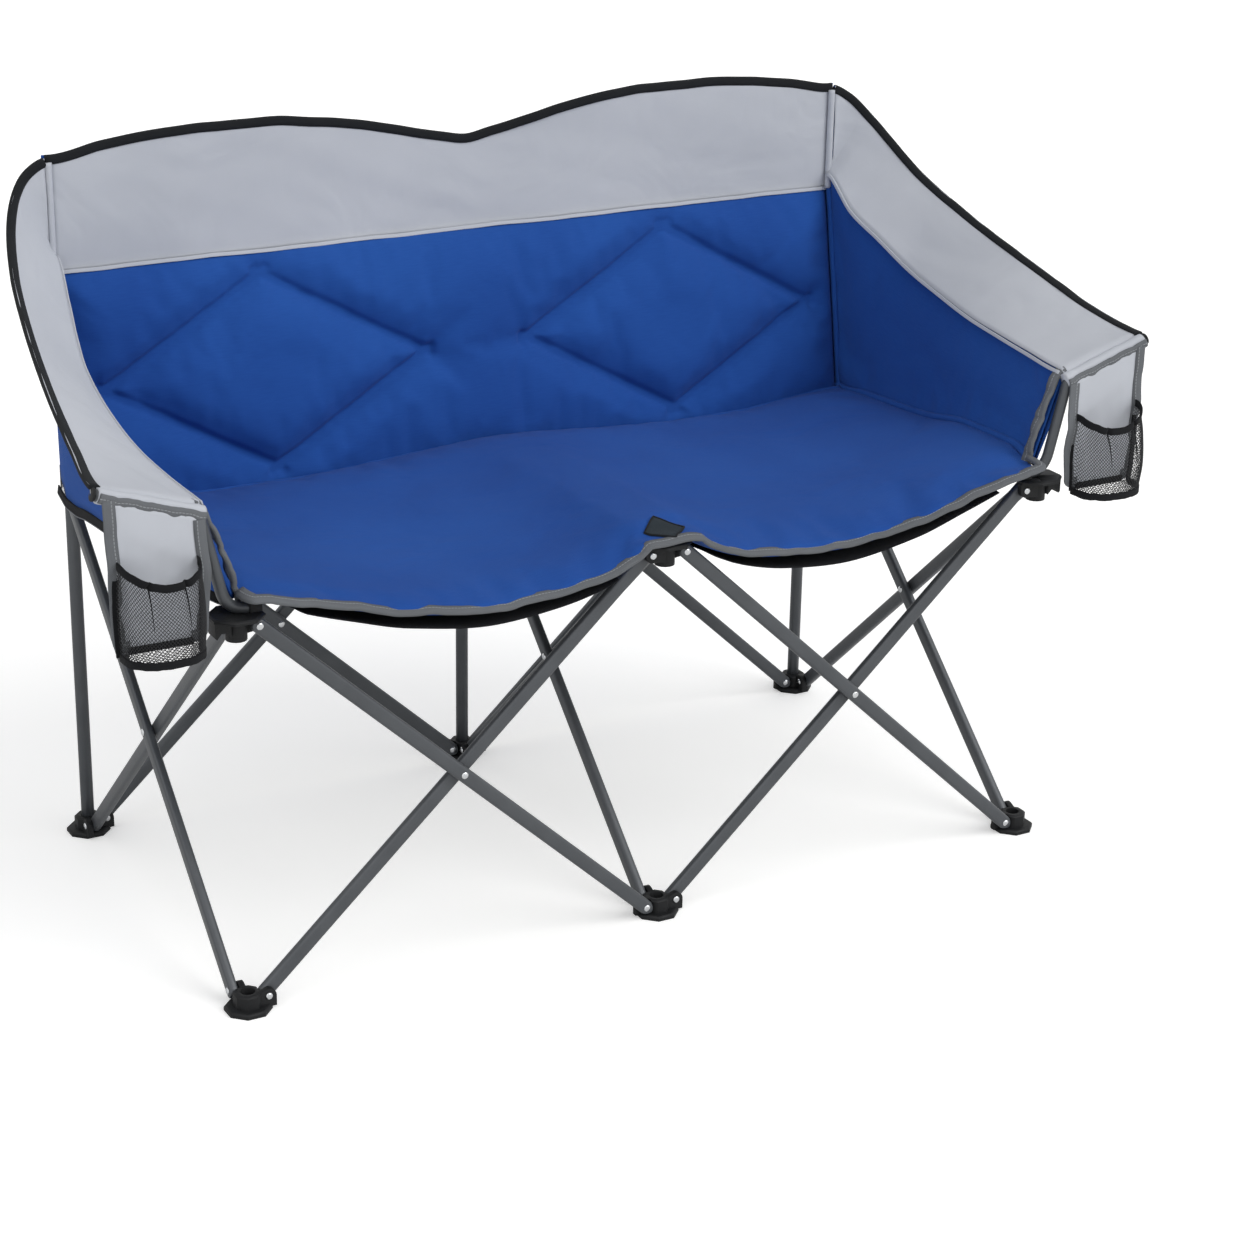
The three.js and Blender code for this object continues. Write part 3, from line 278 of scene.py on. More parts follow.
def seat_top(x, y):
    across = np.abs(x) / seat_half
    depth = clamp((y - seat_front) / (seat_back - seat_front))
    front = seat_high - seat_scallop * along(front_drop, across)
    rear = seat_rear - seat_rear_sag * along(rear_sag, across)
    side = seat_side_high - seat_side_drop * along(side_drop, depth)
    plain = mix(seat_high, seat_rear, depth)
    crown = seat_crown * (1 - across ** 4) * fullness(depth)
    return mix(front, rear, depth) + (side - plain) * across ** 6 + crown


def seat_under(x, y):
    across = np.abs(x) / seat_half
    depth = clamp((y - seat_front) / (seat_back - seat_front))
    top = seat_top(x, y)
    thick = mix(seat_edge, seat_thickness, (1 - across ** 6) * fullness(depth))
    over_hub = ((np.abs(x) <= hub_reach + 0.001) | (np.abs(x) >= bay - hub_reach - 0.001)) & (y <= hub_reach)
    low = np.where(over_hub, np.where(np.abs(x) > 0.4, corner_hub_top, middle_hub_top + 0.0008), 0)
    return np.minimum(top - 0.004, np.maximum(top - thick, low))


def back_rear(z):
    """Depth of the back's rear face: it leans up to the seam and stands upright above it."""
    lean = clamp((z - back_bottom) / (seam_height - back_bottom))
    return mix(back_foot_depth, back_head_depth, lean)


def back_top(x):
    share = np.abs(x) / back_half
    return band_dip + band_hump * along(band_top, share) + 0.004 * share ** 4


def wing_foot_rail(t):
    y = mix(0.009, 0.468, t)
    drawn_in = corner_draw * (1 - clamp(t / 0.12)) ** 1.5
    return stacked(seat_half + 0.0003 + 0.002 * t ** 3 - drawn_in, y, seat_top(seat_half, y) - 0.006)


def wing_middle_rail(t):
    x = 0.562 - 0.030 * along(middle_draw, t)
    z = 0.592 + 0.146 * along(middle_rise, t)
    return stacked(x, mix(0.009, 0.502, t), z)


def wing_top_rail(t):
    x = 0.670 - 0.078 * along(top_draw, t)
    z = 0.626 + 0.177 * along(top_rise, t)
    return stacked(x, mix(0.009, 0.505, t), z)


wing_corner = np.array([0.5365, 0.5065, 0.8535])
print("seat top at the middle", round(float(seat_top(0.0, 0.2)), 4))

# %% [markdown]
# ## Making meshes from rows of points
# Sewn pieces are easiest to draw as a sheet of points, row by row, because the rows can then follow
# the cloth's own threads. Each sheet carries a map of its flat cut in metres, so that a weave keeps its
# true size and turns with the cloth.

# %% Sheet and case meshes
thread_map = "thread_map"


def cut_of(points):
    """How far each point of a sheet lies along its row and its column, in metres of cloth."""
    def run(axis):
        steps = np.linalg.norm(np.diff(points, axis=axis), axis=-1)
        total = np.concatenate([np.zeros_like(np.take(steps, [0], axis)), np.cumsum(steps, axis)], axis)
        return total - np.take(total, [total.shape[axis] // 2], axis)
    return stacked(run(1), run(0))


def place_mesh(name, points, faces, cut=None):
    """A new object from points in depth-from-the-front-row form."""
    mesh = bpy.data.meshes.new(name)
    points = np.asarray(points, float).reshape(-1, 3) + (0, front_row, 0)
    mesh.from_pydata(points.tolist(), [], [list(map(int, f)) for f in faces])
    if cut is not None:
        layer = mesh.uv_layers.new(name=thread_map)
        corners = np.zeros(len(mesh.loops), np.int32)
        mesh.loops.foreach_get("vertex_index", corners)
        layer.uv.foreach_set("vector", np.asarray(cut, np.float32).reshape(-1, 2)[corners].ravel())
    mesh.polygons.foreach_set("use_smooth", [True] * len(mesh.polygons))
    piece = bpy.data.objects.new(name, mesh)
    bpy.context.scene.collection.objects.link(piece)
    return piece


def quads(rows, columns, start=0, flip=False, closed=False):
    wide = columns if closed else columns - 1
    r, c = np.meshgrid(np.arange(rows - 1), np.arange(wide), indexing="ij")
    n = (c + 1) % columns
    a, b, d, e = r * columns + c, r * columns + n, (r + 1) * columns + n, (r + 1) * columns + c
    faces = stacked(a, b, d, e).reshape(-1, 4) + start
    return faces[:, ::-1] if flip else faces


def sheet_piece(name, points, thick, flip=False):
    """One layer of cloth, given its real thickness behind the drawn face."""
    rows, columns = points.shape[:2]
    piece = place_mesh(name, points, quads(rows, columns, flip=flip), cut_of(points))
    shell = piece.modifiers.new("cloth_thickness", "SOLIDIFY")
    shell.thickness = thick
    shell.offset = -1
    return piece


def case_piece(name, front, rear, flip=False):
    """A closed case sewn from two sheets of points that share their rim."""
    rows, columns = front.shape[:2]
    count = rows * columns
    edge = np.concatenate([
        np.arange(columns), np.arange(1, rows) * columns + columns - 1,
        (rows - 1) * columns + np.arange(columns - 2, -1, -1), np.arange(rows - 2, 0, -1) * columns])
    ahead = np.roll(edge, -1)
    wall = stacked(ahead, edge, edge + count, ahead + count)
    faces = [quads(rows, columns), quads(rows, columns, count, True), wall]
    if flip:
        faces = [f[:, ::-1] for f in faces]
    points = np.concatenate([front.reshape(-1, 3), rear.reshape(-1, 3)])
    cut = np.concatenate([cut_of(front).reshape(-1, 2), cut_of(rear).reshape(-1, 2)])
    return place_mesh(name, points, np.concatenate(faces), cut)


def coordinates(mesh):
    found = np.zeros(len(mesh.vertices) * 3, np.float32)
    mesh.vertices.foreach_get("co", found)
    return found.reshape(-1, 3).astype(float)


def move_points(piece, points):
    piece.data.vertices.foreach_set("co", np.asarray(points, np.float32).ravel())
    piece.data.update()


def settle_modifiers(piece):
    """Makes what the modifiers give into the piece's own mesh."""
    view = bpy.context.evaluated_depsgraph_get()
    mesh = bpy.data.meshes.new_from_object(piece.evaluated_get(view), depsgraph=view)
    piece.modifiers.clear()
    piece.data = mesh


def make_finer(piece, levels):
    finer = piece.modifiers.new("finer", "SUBSURF")
    finer.levels = finer.render_levels = levels
    settle_modifiers(piece)


# %% [markdown]
# ## Weave, stitching and grain as shared effects
# Several finishes use the same small effects, so each effect is made once as a node group and placed in
# every material with its own numbers. The groups give only heights and masks. The colours and the
# shader stay in the material, where they are easy to read and to repaint.

# %% Node helpers
def new_group(name, inputs, outputs):
    group = bpy.data.node_groups.new(name, "ShaderNodeTree")
    for label, kind, value in inputs:
        socket = group.interface.new_socket(label, in_out="INPUT", socket_type=f"NodeSocket{kind}")
        if value is not None:
            socket.default_value = value
    for label in outputs:
        group.interface.new_socket(label, in_out="OUTPUT", socket_type="NodeSocketFloat")
    return group, group.nodes.new("NodeGroupInput").outputs, group.nodes.new("NodeGroupOutput").inputs


def math_node(tree, operation, *values, clamp=False):
    node = tree.nodes.new("ShaderNodeMath")
    node.operation = operation
    node.use_clamp = clamp
    for socket, value in zip(node.inputs, values):
        if isinstance(value, (int, float)):
            socket.default_value = value
        else:
            tree.links.new(value, socket)
    return node.outputs[0]


def ramp_between(tree, value, low, high):
    """Nought below one value, one above another, and smooth in between."""
    node = tree.nodes.new("ShaderNodeMapRange")
    node.interpolation_type = "SMOOTHSTEP"
    tree.links.new(value, node.inputs["Value"])
    for label, edge in (("From Min", low), ("From Max", high)):
        if isinstance(edge, (int, float)):
            node.inputs[label].default_value = edge
        else:
            tree.links.new(edge, node.inputs[label])
    return node.outputs["Result"]


# %% Close weave
weave, weave_in, weave_out = new_group(
    "close_weave", [("Cut", "Vector", None), ("Thread", "Float", 0.0008), ("Slub", "Float", 0.5)],
    ["Height", "Shade"])
cut_parts = weave.nodes.new("ShaderNodeSeparateXYZ")
weave.links.new(weave_in["Cut"], cut_parts.inputs[0])
warp, weft = (math_node(weave, "DIVIDE", cut_parts.outputs[k], weave_in["Thread"]) for k in (0, 1))
warp, weft = (math_node(weave, "SINE", math_node(weave, "MULTIPLY", line, math.pi)) for line in (warp, weft))
over = math_node(weave, "MULTIPLY", warp, weft)
weave.links.new(math_node(weave, "MULTIPLY_ADD", over, 0.5, 0.5), weave_out["Height"])
slub = weave.nodes.new("ShaderNodeTexNoise")
slub.inputs["Scale"].default_value = 60
slub.inputs["Detail"].default_value = 3
stretched = weave.nodes.new("ShaderNodeVectorMath")
stretched.operation = "MULTIPLY"
stretched.inputs[1].default_value = (1, 9, 1)
weave.links.new(weave_in["Cut"], stretched.inputs[0])
weave.links.new(stretched.outputs[0], slub.inputs["Vector"])
uneven = math_node(weave, "MULTIPLY", math_node(weave, "SUBTRACT", slub.outputs["Fac"], 0.5), weave_in["Slub"])
weave.links.new(math_node(weave, "MULTIPLY_ADD", over, 0.12, uneven), weave_out["Shade"])

# %% Soft creases and fading
drape, drape_in, drape_out = new_group(
    "soft_creases", [("Vector", "Vector", None), ("Scale", "Float", 9.0), ("Stretch", "Vector", (1, 1, 1))],
    ["Height", "Fade"])
crease_place = drape.nodes.new("ShaderNodeVectorMath")
crease_place.operation = "MULTIPLY"
drape.links.new(drape_in["Vector"], crease_place.inputs[0])
drape.links.new(drape_in["Stretch"], crease_place.inputs[1])
crease = drape.nodes.new("ShaderNodeTexNoise")
crease.inputs["Detail"].default_value = 2.5
crease.inputs["Roughness"].default_value = 0.55
crease.inputs["Distortion"].default_value = 0.6
drape.links.new(crease_place.outputs[0], crease.inputs["Vector"])
drape.links.new(drape_in["Scale"], crease.inputs["Scale"])
drape.links.new(crease.outputs["Fac"], drape_out["Height"])
fade = drape.nodes.new("ShaderNodeTexNoise")
fade.inputs["Scale"].default_value = 3.2
fade.inputs["Detail"].default_value = 3
drape.links.new(crease_place.outputs[0], fade.inputs["Vector"])
drape.links.new(fade.outputs["Fac"], drape_out["Fade"])

# %% Row of stitches
stitch, stitch_in, stitch_out = new_group(
    "stitch_row", [("Cut", "Vector", None), ("Place", "Float", 0.0), ("Pitch", "Float", 0.004),
                   ("Thread", "Float", 0.0009)], ["Mask"])
stitch_parts = stitch.nodes.new("ShaderNodeSeparateXYZ")
stitch.links.new(stitch_in["Cut"], stitch_parts.inputs[0])
phase = math_node(stitch, "DIVIDE", stitch_parts.outputs[0], stitch_in["Pitch"])
along_row = math_node(stitch, "ABSOLUTE", math_node(stitch, "SUBTRACT", math_node(stitch, "FRACT", phase), 0.5))
off_row = math_node(stitch, "SUBTRACT", stitch_parts.outputs[1], stitch_in["Place"])
off_row = math_node(stitch, "ABSOLUTE", off_row)
on_line = math_node(stitch, "SUBTRACT", 1.0, ramp_between(
    stitch, off_row, math_node(stitch, "MULTIPLY", stitch_in["Thread"], 0.3), stitch_in["Thread"]))
dash = math_node(stitch, "SUBTRACT", 1.0, ramp_between(stitch, along_row, 0.34, 0.42))
stitch.links.new(math_node(stitch, "MULTIPLY", on_line, dash), stitch_out["Mask"])

# %% Fine grain
grain, grain_in, grain_out = new_group(
    "fine_grain", [("Vector", "Vector", None), ("Scale", "Float", 900.0), ("Blotch", "Float", 25.0)],
    ["Height", "Tone"])
speck = grain.nodes.new("ShaderNodeTexNoise")
speck.inputs["Detail"].default_value = 2
grain.links.new(grain_in["Vector"], speck.inputs["Vector"])
grain.links.new(grain_in["Scale"], speck.inputs["Scale"])
grain.links.new(speck.outputs["Fac"], grain_out["Height"])
blotch = grain.nodes.new("ShaderNodeTexNoise")
blotch.inputs["Detail"].default_value = 4
grain.links.new(grain_in["Vector"], blotch.inputs["Vector"])
grain.links.new(grain_in["Blotch"], blotch.inputs["Scale"])
grain.links.new(blotch.outputs["Fac"], grain_out["Tone"])
print("effects", [g.name for g in bpy.data.node_groups])

# %% [markdown]
# ## Cloth finishes
# The cover is close-woven polyester: a matt cloth with a faint sheen at grazing angles, a fine weave
# and slow creases. Tapes and piping are the same yarn in a coarser, ribbed weave, with a row of
# stitches along the middle.

# %% Cloth materials
def grey_level(value):
    """A screen value from 0 to 255 as the linear light that Blender works in."""
    share = value / 255
    return share / 12.92 if share <= 0.04045 else ((share + 0.055) / 1.055) ** 2.4


def paint(*rgb):
    return (*[grey_level(v) for v in rgb], 1)


def use_group(nodes, links, group, **values):
    node = nodes.new("ShaderNodeGroup")
    node.node_tree = group
    for label, value in values.items():
        if hasattr(value, "links"):
            links.new(value, node.inputs[label])
        else:
            node.inputs[label].default_value = value
    return node.outputs


def mix_colour(nodes, links, mask, first, second):
    node = nodes.new("ShaderNodeMix")
    node.data_type = "RGBA"
    links.new(mask, node.inputs["Factor"])
    for socket, value in (("A", first), ("B", second)):
        target = next(i for i in node.inputs if i.name == socket and i.type == "RGBA")
        if hasattr(value, "links"):
            links.new(value, target)
        else:
            target.default_value = value
    return next(o for o in node.outputs if o.type == "RGBA")


def bump_chain(nodes, links, shader, *layers):
    """Heights laid over each other, each with its own depth in metres."""
    normal = None
    for height, depth in layers:
        bump = nodes.new("ShaderNodeBump")
        bump.inputs["Distance"].default_value = depth
        links.new(height, bump.inputs["Height"])
        if normal:
            links.new(normal, bump.inputs["Normal"])
        normal = bump.outputs["Normal"]
    links.new(normal, shader.inputs["Normal"])


def cloth_material(name, light, dark, thread=0.0008, crease_depth=0.004, stitches=None,
                   stitch_colour=None, rib=0.0003, slub=0.35):
    """A matt cloth. Its thread, the depths of its creases and ribs and its stitches are in metres."""
    material, nodes, links, shader = new_material(name)
    cut = nodes.new("ShaderNodeUVMap")
    cut.uv_map = thread_map
    place = nodes.new("ShaderNodeTexCoord")
    threads = use_group(nodes, links, weave, Cut=cut.outputs["UV"], Thread=thread, Slub=slub)
    folds = use_group(nodes, links, drape, Vector=place.outputs["Object"])
    tree = material.node_tree
    tone = math_node(tree, "ADD", threads["Shade"], folds["Fade"], clamp=True)
    colour = mix_colour(nodes, links, tone, dark, light)
    layers = [(folds["Height"], crease_depth), (threads["Height"], rib)]
    if stitches is not None:
        row = use_group(nodes, links, stitch, Cut=cut.outputs["UV"], Place=stitches)
        colour = mix_colour(nodes, links, row["Mask"], colour, stitch_colour)
        layers.append((row["Mask"], 0.0005))
    links.new(colour, shader.inputs["Base Color"])
    shader.inputs["Roughness"].default_value = 0.86
    shader.inputs["Sheen Weight"].default_value = 0.04
    shader.inputs["Sheen Roughness"].default_value = 0.45
    shader.inputs["Specular IOR Level"].default_value = 0.12
    bump_chain(nodes, links, shader, *layers)
    return material


blue_cloth = cloth_material("cover_blue", paint(42, 92, 172), paint(24, 62, 136), crease_depth=0.006)
grey_cloth = cloth_material("cover_grey", paint(196, 199, 206), paint(172, 176, 184),
                            crease_depth=0.005, rib=0.0001, slub=0.08)
tape_cloth = cloth_material("grey_tape", paint(122, 125, 129), paint(84, 87, 91), thread=0.0012,
                            crease_depth=0.001, stitches=0.0, stitch_colour=paint(150, 153, 157), rib=0.0005)
black_cloth = cloth_material("cover_black", paint(32, 33, 36), paint(17, 18, 20))
piping_cloth = cloth_material("black_piping", paint(42, 44, 47), paint(22, 23, 25), thread=0.0011,
                              crease_depth=0.0006, rib=0.0005)
patch_cloth = cloth_material("patch_cloth", paint(52, 60, 66), paint(34, 40, 45), thread=0.0009,
                             crease_depth=0.0005)

# %% [markdown]
# ## Steel and plastic finishes
# The tubes have a satin dark grey powder coat, which shows a fine orange-peel grain in the highlights.
# Feet and hubs are moulded in black plastic with a dull, slightly uneven skin. The rivets are bright.

# %% Hard materials
def hard_material(name, light, dark, metallic, rough, grain_size=700.0, depth=0.0002, coat=0.0, shine=0.5):
    material, nodes, links, shader = new_material(name)
    place = nodes.new("ShaderNodeTexCoord")
    fine = use_group(nodes, links, grain, Vector=place.outputs["Object"], Scale=grain_size)
    links.new(mix_colour(nodes, links, fine["Tone"], dark, light), shader.inputs["Base Color"])
    tree = material.node_tree
    links.new(math_node(tree, "MULTIPLY_ADD", fine["Tone"], 0.16, rough - 0.08), shader.inputs["Roughness"])
    shader.inputs["Metallic"].default_value = metallic
    shader.inputs["Specular IOR Level"].default_value = shine
    shader.inputs["Coat Weight"].default_value = coat
    shader.inputs["Coat Roughness"].default_value = 0.3
    bump_chain(nodes, links, shader, (fine["Height"], depth))
    return material


frame_paint = hard_material("frame_paint", paint(84, 87, 91), paint(66, 69, 73), 0.30, 0.40, coat=0.10)
bright_steel = hard_material("bright_steel", paint(226, 228, 230), paint(196, 198, 201), 1.0, 0.26,
                             depth=0.00005)
moulded_black = hard_material("moulded_black", paint(30, 31, 33), paint(18, 19, 20), 0.0, 0.55, 420.0, 0.0003,
                              shine=0.25)
yarn_black = hard_material("net_yarn", paint(38, 39, 42), paint(22, 23, 25), 0.0, 0.7, 1200.0, 0.0002)

by_first_word = {"foot": moulded_black, "sliding": moulded_black, "front": moulded_black, "post": frame_paint,
                 "arm": frame_paint, "tube": frame_paint, "crossing": bright_steel, "seat": blue_cloth,
                 "back": blue_cloth, "wing": blue_cloth, "hanging": grey_cloth, "net": black_cloth}


def dress(piece, finish):
    """Gives a piece its finish, and the slot that the finish belongs to."""
    piece.data.materials.append(finish)


def soften_edges(node, width):
    """Rounds the sharp edges a little, as any mould or press does, without touching the mesh."""
    weld = node.modifiers.new("weld", "WELD")
    weld.merge_threshold = 0.00002
    rounding = node.modifiers.new("rounding", "BEVEL")
    rounding.width = width
    rounding.segments = 2
    rounding.limit_method = "ANGLE"
    rounding.angle_limit = math.radians(32)
    rounding.harden_normals = True
    rounding.use_clamp_overlap = True
    node.data.polygons.foreach_set("use_smooth", [True] * len(node.data.polygons))


for node_name, node in frame["nodes"].items():
    finish = by_first_word[node_name.split("_")[0]]
    if "cap" in node_name:
        finish = moulded_black
    node.data.materials.clear()
    node.data.materials.append(finish)
    if finish is moulded_black:
        soften_edges(node, 0.0007)
    elif node_name.startswith(("post_", "arm_")):
        soften_edges(node, 0.0003)
print("CAD nodes finished", len(frame["nodes"]))

# %% [markdown]
# ## Padding: a sewn case, blown up by simulation
# A padded panel is a case with a little filling, sewn shut round its rim and sometimes through its face.
# Cloth simulation with air pressure finds that shape by itself: the stitched points are held, the rest
# swells until the cloth is taut. All the cases swell in the same twenty steps. The swell is capped, so
# that no case grows out of the space that the frame leaves for it.

# %% Swelling the cases
swell_frames = 20
waiting_cases = []


def case_to_swell(piece, held, pressure, cap, give):
    waiting_cases.append((piece, held, pressure, cap, give))


def swell_cases():
    before = {}
    for piece, held, pressure, cap, give in waiting_cases:
        before[piece.name] = coordinates(piece.data)
        group = piece.vertex_groups.new(name="stitched")
        for weight in np.unique(held):
            group.add(np.flatnonzero(held == weight).tolist(), float(weight), "REPLACE")
        cloth = piece.modifiers.new("swell", "CLOTH")
        rules = cloth.settings
        rules.quality = 4
        rules.mass = 0.3
        rules.tension_stiffness = rules.compression_stiffness = 12
        rules.shear_stiffness = 6
        rules.bending_stiffness = 0.6
        rules.use_pressure = True
        rules.uniform_pressure_force = pressure
        rules.shrink_min = -give
        rules.vertex_group_mass = group.name
        rules.effector_weights.gravity = 0
        cloth.collision_settings.use_collision = False
    for step in range(1, swell_frames + 1):
        bpy.context.scene.frame_set(step)
    view = bpy.context.evaluated_depsgraph_get()
    for piece, held, pressure, cap, give in waiting_cases:
        swollen = coordinates(piece.evaluated_get(view).data)
        rest = before[piece.name]
        moved = swollen - rest
        far = np.linalg.norm(moved, axis=1)
        moved *= (np.minimum(far, cap) / np.maximum(far, 1e-9))[:, None]
        piece.modifiers.clear()
        piece.vertex_groups.clear()
        move_points(piece, rest + moved)
        print(piece.name, "swelled by up to", round(float(far.max()) * 1000, 1), "mm")
    bpy.context.scene.frame_set(1)


def rim_held(rows, columns):
    """One for the rim of both faces and for the whole rear face, nothing for the rest."""
    face = np.zeros((rows, columns))
    face[[0, -1], :] = 1
    face[:, [0, -1]] = 1
    return np.concatenate([face.ravel(), np.ones(rows * columns)])


# %% [markdown]
# ## The seat
# The seat is one wide pad, thin at its sewn edges. Between the hubs its front edge hangs in two
# scallops, and the front corners are drawn in beside the arm tubes. It is drawn a few millimetres
# thinner than it ends up, because the simulation fills it out.

# %% Seat pad
seat_columns, seat_rows = 97, 43


def seat_points(height):
    column, y = np.meshgrid(np.linspace(-1, 1, seat_columns) * (seat_half - 0.003),
                            np.linspace(seat_front + 0.004, seat_back + 0.007, seat_rows))
    past = clamp((np.abs(column) - (bay - hub_reach)) / (seat_half - bay + hub_reach))
    inset = past * 0.024 * (1 - clamp((y + 0.012) / 0.075))
    x = column - np.sign(column) * inset
    return stacked(x, y, height(x, y))


def seat_start(x, y):
    """The pad's top before it swells, with shallow dips and gathers behind the front tape."""
    depth = clamp((y - seat_front) / 0.12)
    gathers = 0.0016 * np.sin(x * 95 + 1.5 * np.sin(x * 31)) * (1 - depth) ** 2
    slack = 0.0022 * ripple(x * 7 + y * 3, y * 11 - x * 2)
    return seat_top(x, y) - 0.003 * fullness(clamp((y - seat_front) / 0.468)) + gathers + slack


seat_pad = case_piece("seat_pad", seat_points(seat_start), seat_points(seat_under))
case_to_swell(seat_pad, rim_held(seat_rows, seat_columns), 2.2, 0.008, 0.012)
print("seat pad points", len(seat_pad.data.vertices))

# %% [markdown]
# ## The quilted back
# The back is one pad across both places. A diamond is stitched through the filling behind each sitter.
# The stitched lines are held while the case swells, and the narrow channels are pressed in afterwards,
# on a finer mesh, because they are narrower than the simulated cloth's own spacing.

# %% Back pad
diamond_x, diamond_z, diamond_wide, diamond_high = 0.279, 0.577, 0.209, 0.115
overrun = 1.055
diamond_tips = [(1, 0), (0, 1), (-1, 0), (0, -1)]


def diamond_distance(x, z):
    """Distance to the nearest line of stitches, which runs on a little past each tip."""
    nearest = np.full(np.shape(x), 1.0)
    for i, (ax, az) in enumerate(diamond_tips):
        bx, bz = diamond_tips[(i + 1) % 4]
        middle = np.array([(ax + bx) / 2, (az + bz) / 2])
        size = np.array([diamond_wide, diamond_high])
        a = (middle + (np.array([ax, az]) - middle) * overrun) * size + (diamond_x, diamond_z)
        b = (middle + (np.array([bx, bz]) - middle) * overrun) * size + (diamond_x, diamond_z)
        along_line = b - a
        px, pz = np.abs(x) - a[0], z - a[1]
        t = clamp((px * along_line[0] + pz * along_line[1]) / (along_line @ along_line))
        nearest = np.minimum(nearest, np.hypot(px - t * along_line[0], pz - t * along_line[1]))
    return nearest


back_columns, back_rows = 101, 29


def back_points(thickness):
    x, z = np.meshgrid(np.linspace(-1, 1, back_columns) * (back_half - 0.003),
                       np.linspace(back_bottom + 0.003, seam_height - 0.001, back_rows))
    return stacked(x, back_rear(z) - thickness(x, z), z)


def back_start(x, z):
    rim = np.minimum.reduce([back_half - np.abs(x), z - back_bottom + 0.022, seam_height - z])
    full = 0.0065 + 0.0125 * (1 - np.exp(-np.maximum(rim, 0) / 0.022))
    quilt = 1 - 0.22 * bump(diamond_distance(x, z), 0.026)
    return full * quilt + 0.0012 * ripple(x * 8 - z * 5, z * 13 + x * 3)


back_grid = back_points(back_start)
back_pad = case_piece("back_pad", back_grid, back_points(lambda x, z: 0.0022 + 0 * x))
back_held = rim_held(back_rows, back_columns)
stitched = diamond_distance(back_grid[..., 0], back_grid[..., 2]).ravel() < 0.006
back_held[:back_rows * back_columns][stitched] = 1
case_to_swell(back_pad, back_held, 3.0, 0.009, 0.02)
print("back pad points", len(back_pad.data.vertices), "stitched", int(stitched.sum()))

# %% [markdown]
# ## The wings
# Each side wing runs from the seat's edge up to a seam and on to the top rail that leads from the arm
# tube to the back's corner. Below the seam it is padded and blue; above it is a single grey layer.

# %% Wing pads
wing_columns, wing_rows = 45, 15


def past_wing(ts):
    """Nothing along a wing, and up to one where its lines run on round the back's corner."""
    return clamp((ts[:, None] - 1) / 0.14)


def wing_outward(ts, across):
    """Away from the sitter: sideways along the wing, and to the rear past its end."""
    normal = stacked(across[:, 2], 0, -across[:, 0])
    normal /= np.linalg.norm(normal, axis=1)[:, None]
    return mix(normal, np.array([0, 1.0, 0]), past_wing(ts))


def wing_sheet(side, ts, shares, lower, upper, offset):
    """Points between two rails, pushed outward by offset, rows going up and columns going back."""
    low, high = lower(ts), upper(ts)
    across = high - low
    normal = wing_outward(ts, across)
    t, s = np.meshgrid(ts, shares)
    points = low[None] + across[None] * s[..., None] + normal[None] * offset(t, s)[..., None]
    points[..., 0] *= side
    return points


def wing_inside(t, s):
    swell = fullness(t) * fullness(s)
    return -0.0035 * swell * s + 0.001 + 0.0012 * ripple(t * 9 + s * 2, s * 5 - t * 3) * swell


def wing_outside(t, s):
    return 0.006 + 0.006 * fullness(t) * fullness(s)


wing_ts = np.linspace(0, 1, wing_columns)
wing_shares = np.linspace(0.004, 0.996, wing_rows)
sides = {"left": -1, "right": 1}
wing_pads = {}
for side_name, side in sides.items():
    inner = wing_sheet(side, wing_ts, wing_shares, wing_foot_rail, wing_middle_rail, wing_inside)
    outer = wing_sheet(side, wing_ts, wing_shares, wing_foot_rail, wing_middle_rail, wing_outside)
    pad = case_piece(f"wing_pad_{side_name}", inner, outer, flip=side < 0)
    case_to_swell(pad, rim_held(wing_rows, wing_columns), 2.5, 0.006, 0.015)
    wing_pads[side_name] = pad

# %% Swell all the cases, then press in the channels
swell_cases()
make_finer(seat_pad, 1)
make_finer(back_pad, 2)
for pad in wing_pads.values():
    make_finer(pad, 1)


def press_channels(pad):
    points = coordinates(pad.data)
    x, z = points[:, 0], points[:, 2]
    thickness = back_rear(z) - (points[:, 1] - front_row)
    on_face = clamp((thickness - 0.006) / 0.004)
    away = diamond_distance(x, z)
    pucker = 1 + 0.16 * ripple(x * 74 + z * 33, z * 61 - x * 25)
    groove = 0.0088 * pucker * bump(away, 0.0056) + 0.0046 * bump(away, 0.019)
    points[:, 1] += on_face * np.minimum(groove, np.maximum(thickness - 0.005, 0))
    move_points(pad, points)


press_channels(back_pad)
for pad in (seat_pad, back_pad, *wing_pads.values()):
    dress(pad, blue_cloth)
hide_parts("seat_cushion")
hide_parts("back_cushion")
for side_name, pad in wing_pads.items():
    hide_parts(f"wing_cushion_{side_name}")
print("pads", len(waiting_cases))

# %% [markdown]
# ## Single layers: bands, outer shell and sling
# The bands above the padding and the whole outside of the cover are single layers of cloth. Hanging
# cloth is never quite flat, so each sheet gets slow waves of a millimetre or two, which die out at the
# seams.

# %% Bands and outer shell
def back_sheet(depth_back, low, rows, slack, half=back_half):
    """A sheet over the back, from a lower height up to the humped top edge."""
    x, v = np.meshgrid(np.linspace(-1, 1, 121) * half, np.linspace(0, 1, rows))
    z = mix(low, back_top(x) - 0.002, v)
    y = back_rear(z) - depth_back
    damp = np.sin(np.pi * v) ** 0.5 * np.sqrt(np.maximum(0, 1 - (x / half) ** 8))
    y = y + slack * damp * ripple(x * 6 + v, v * 4 + x * 9)
    return stacked(x, y, z)


wing_end = 1.14
round_from, round_to, shoulder_reach = 0.80, wing_end, (0.050, 0.002, -0.016)
before_round, at_round = wing_top_rail(np.array([round_from - 0.02, round_from]))
shoulder_start = at_round + (at_round - before_round) / 0.02 * (round_to - round_from) / 3


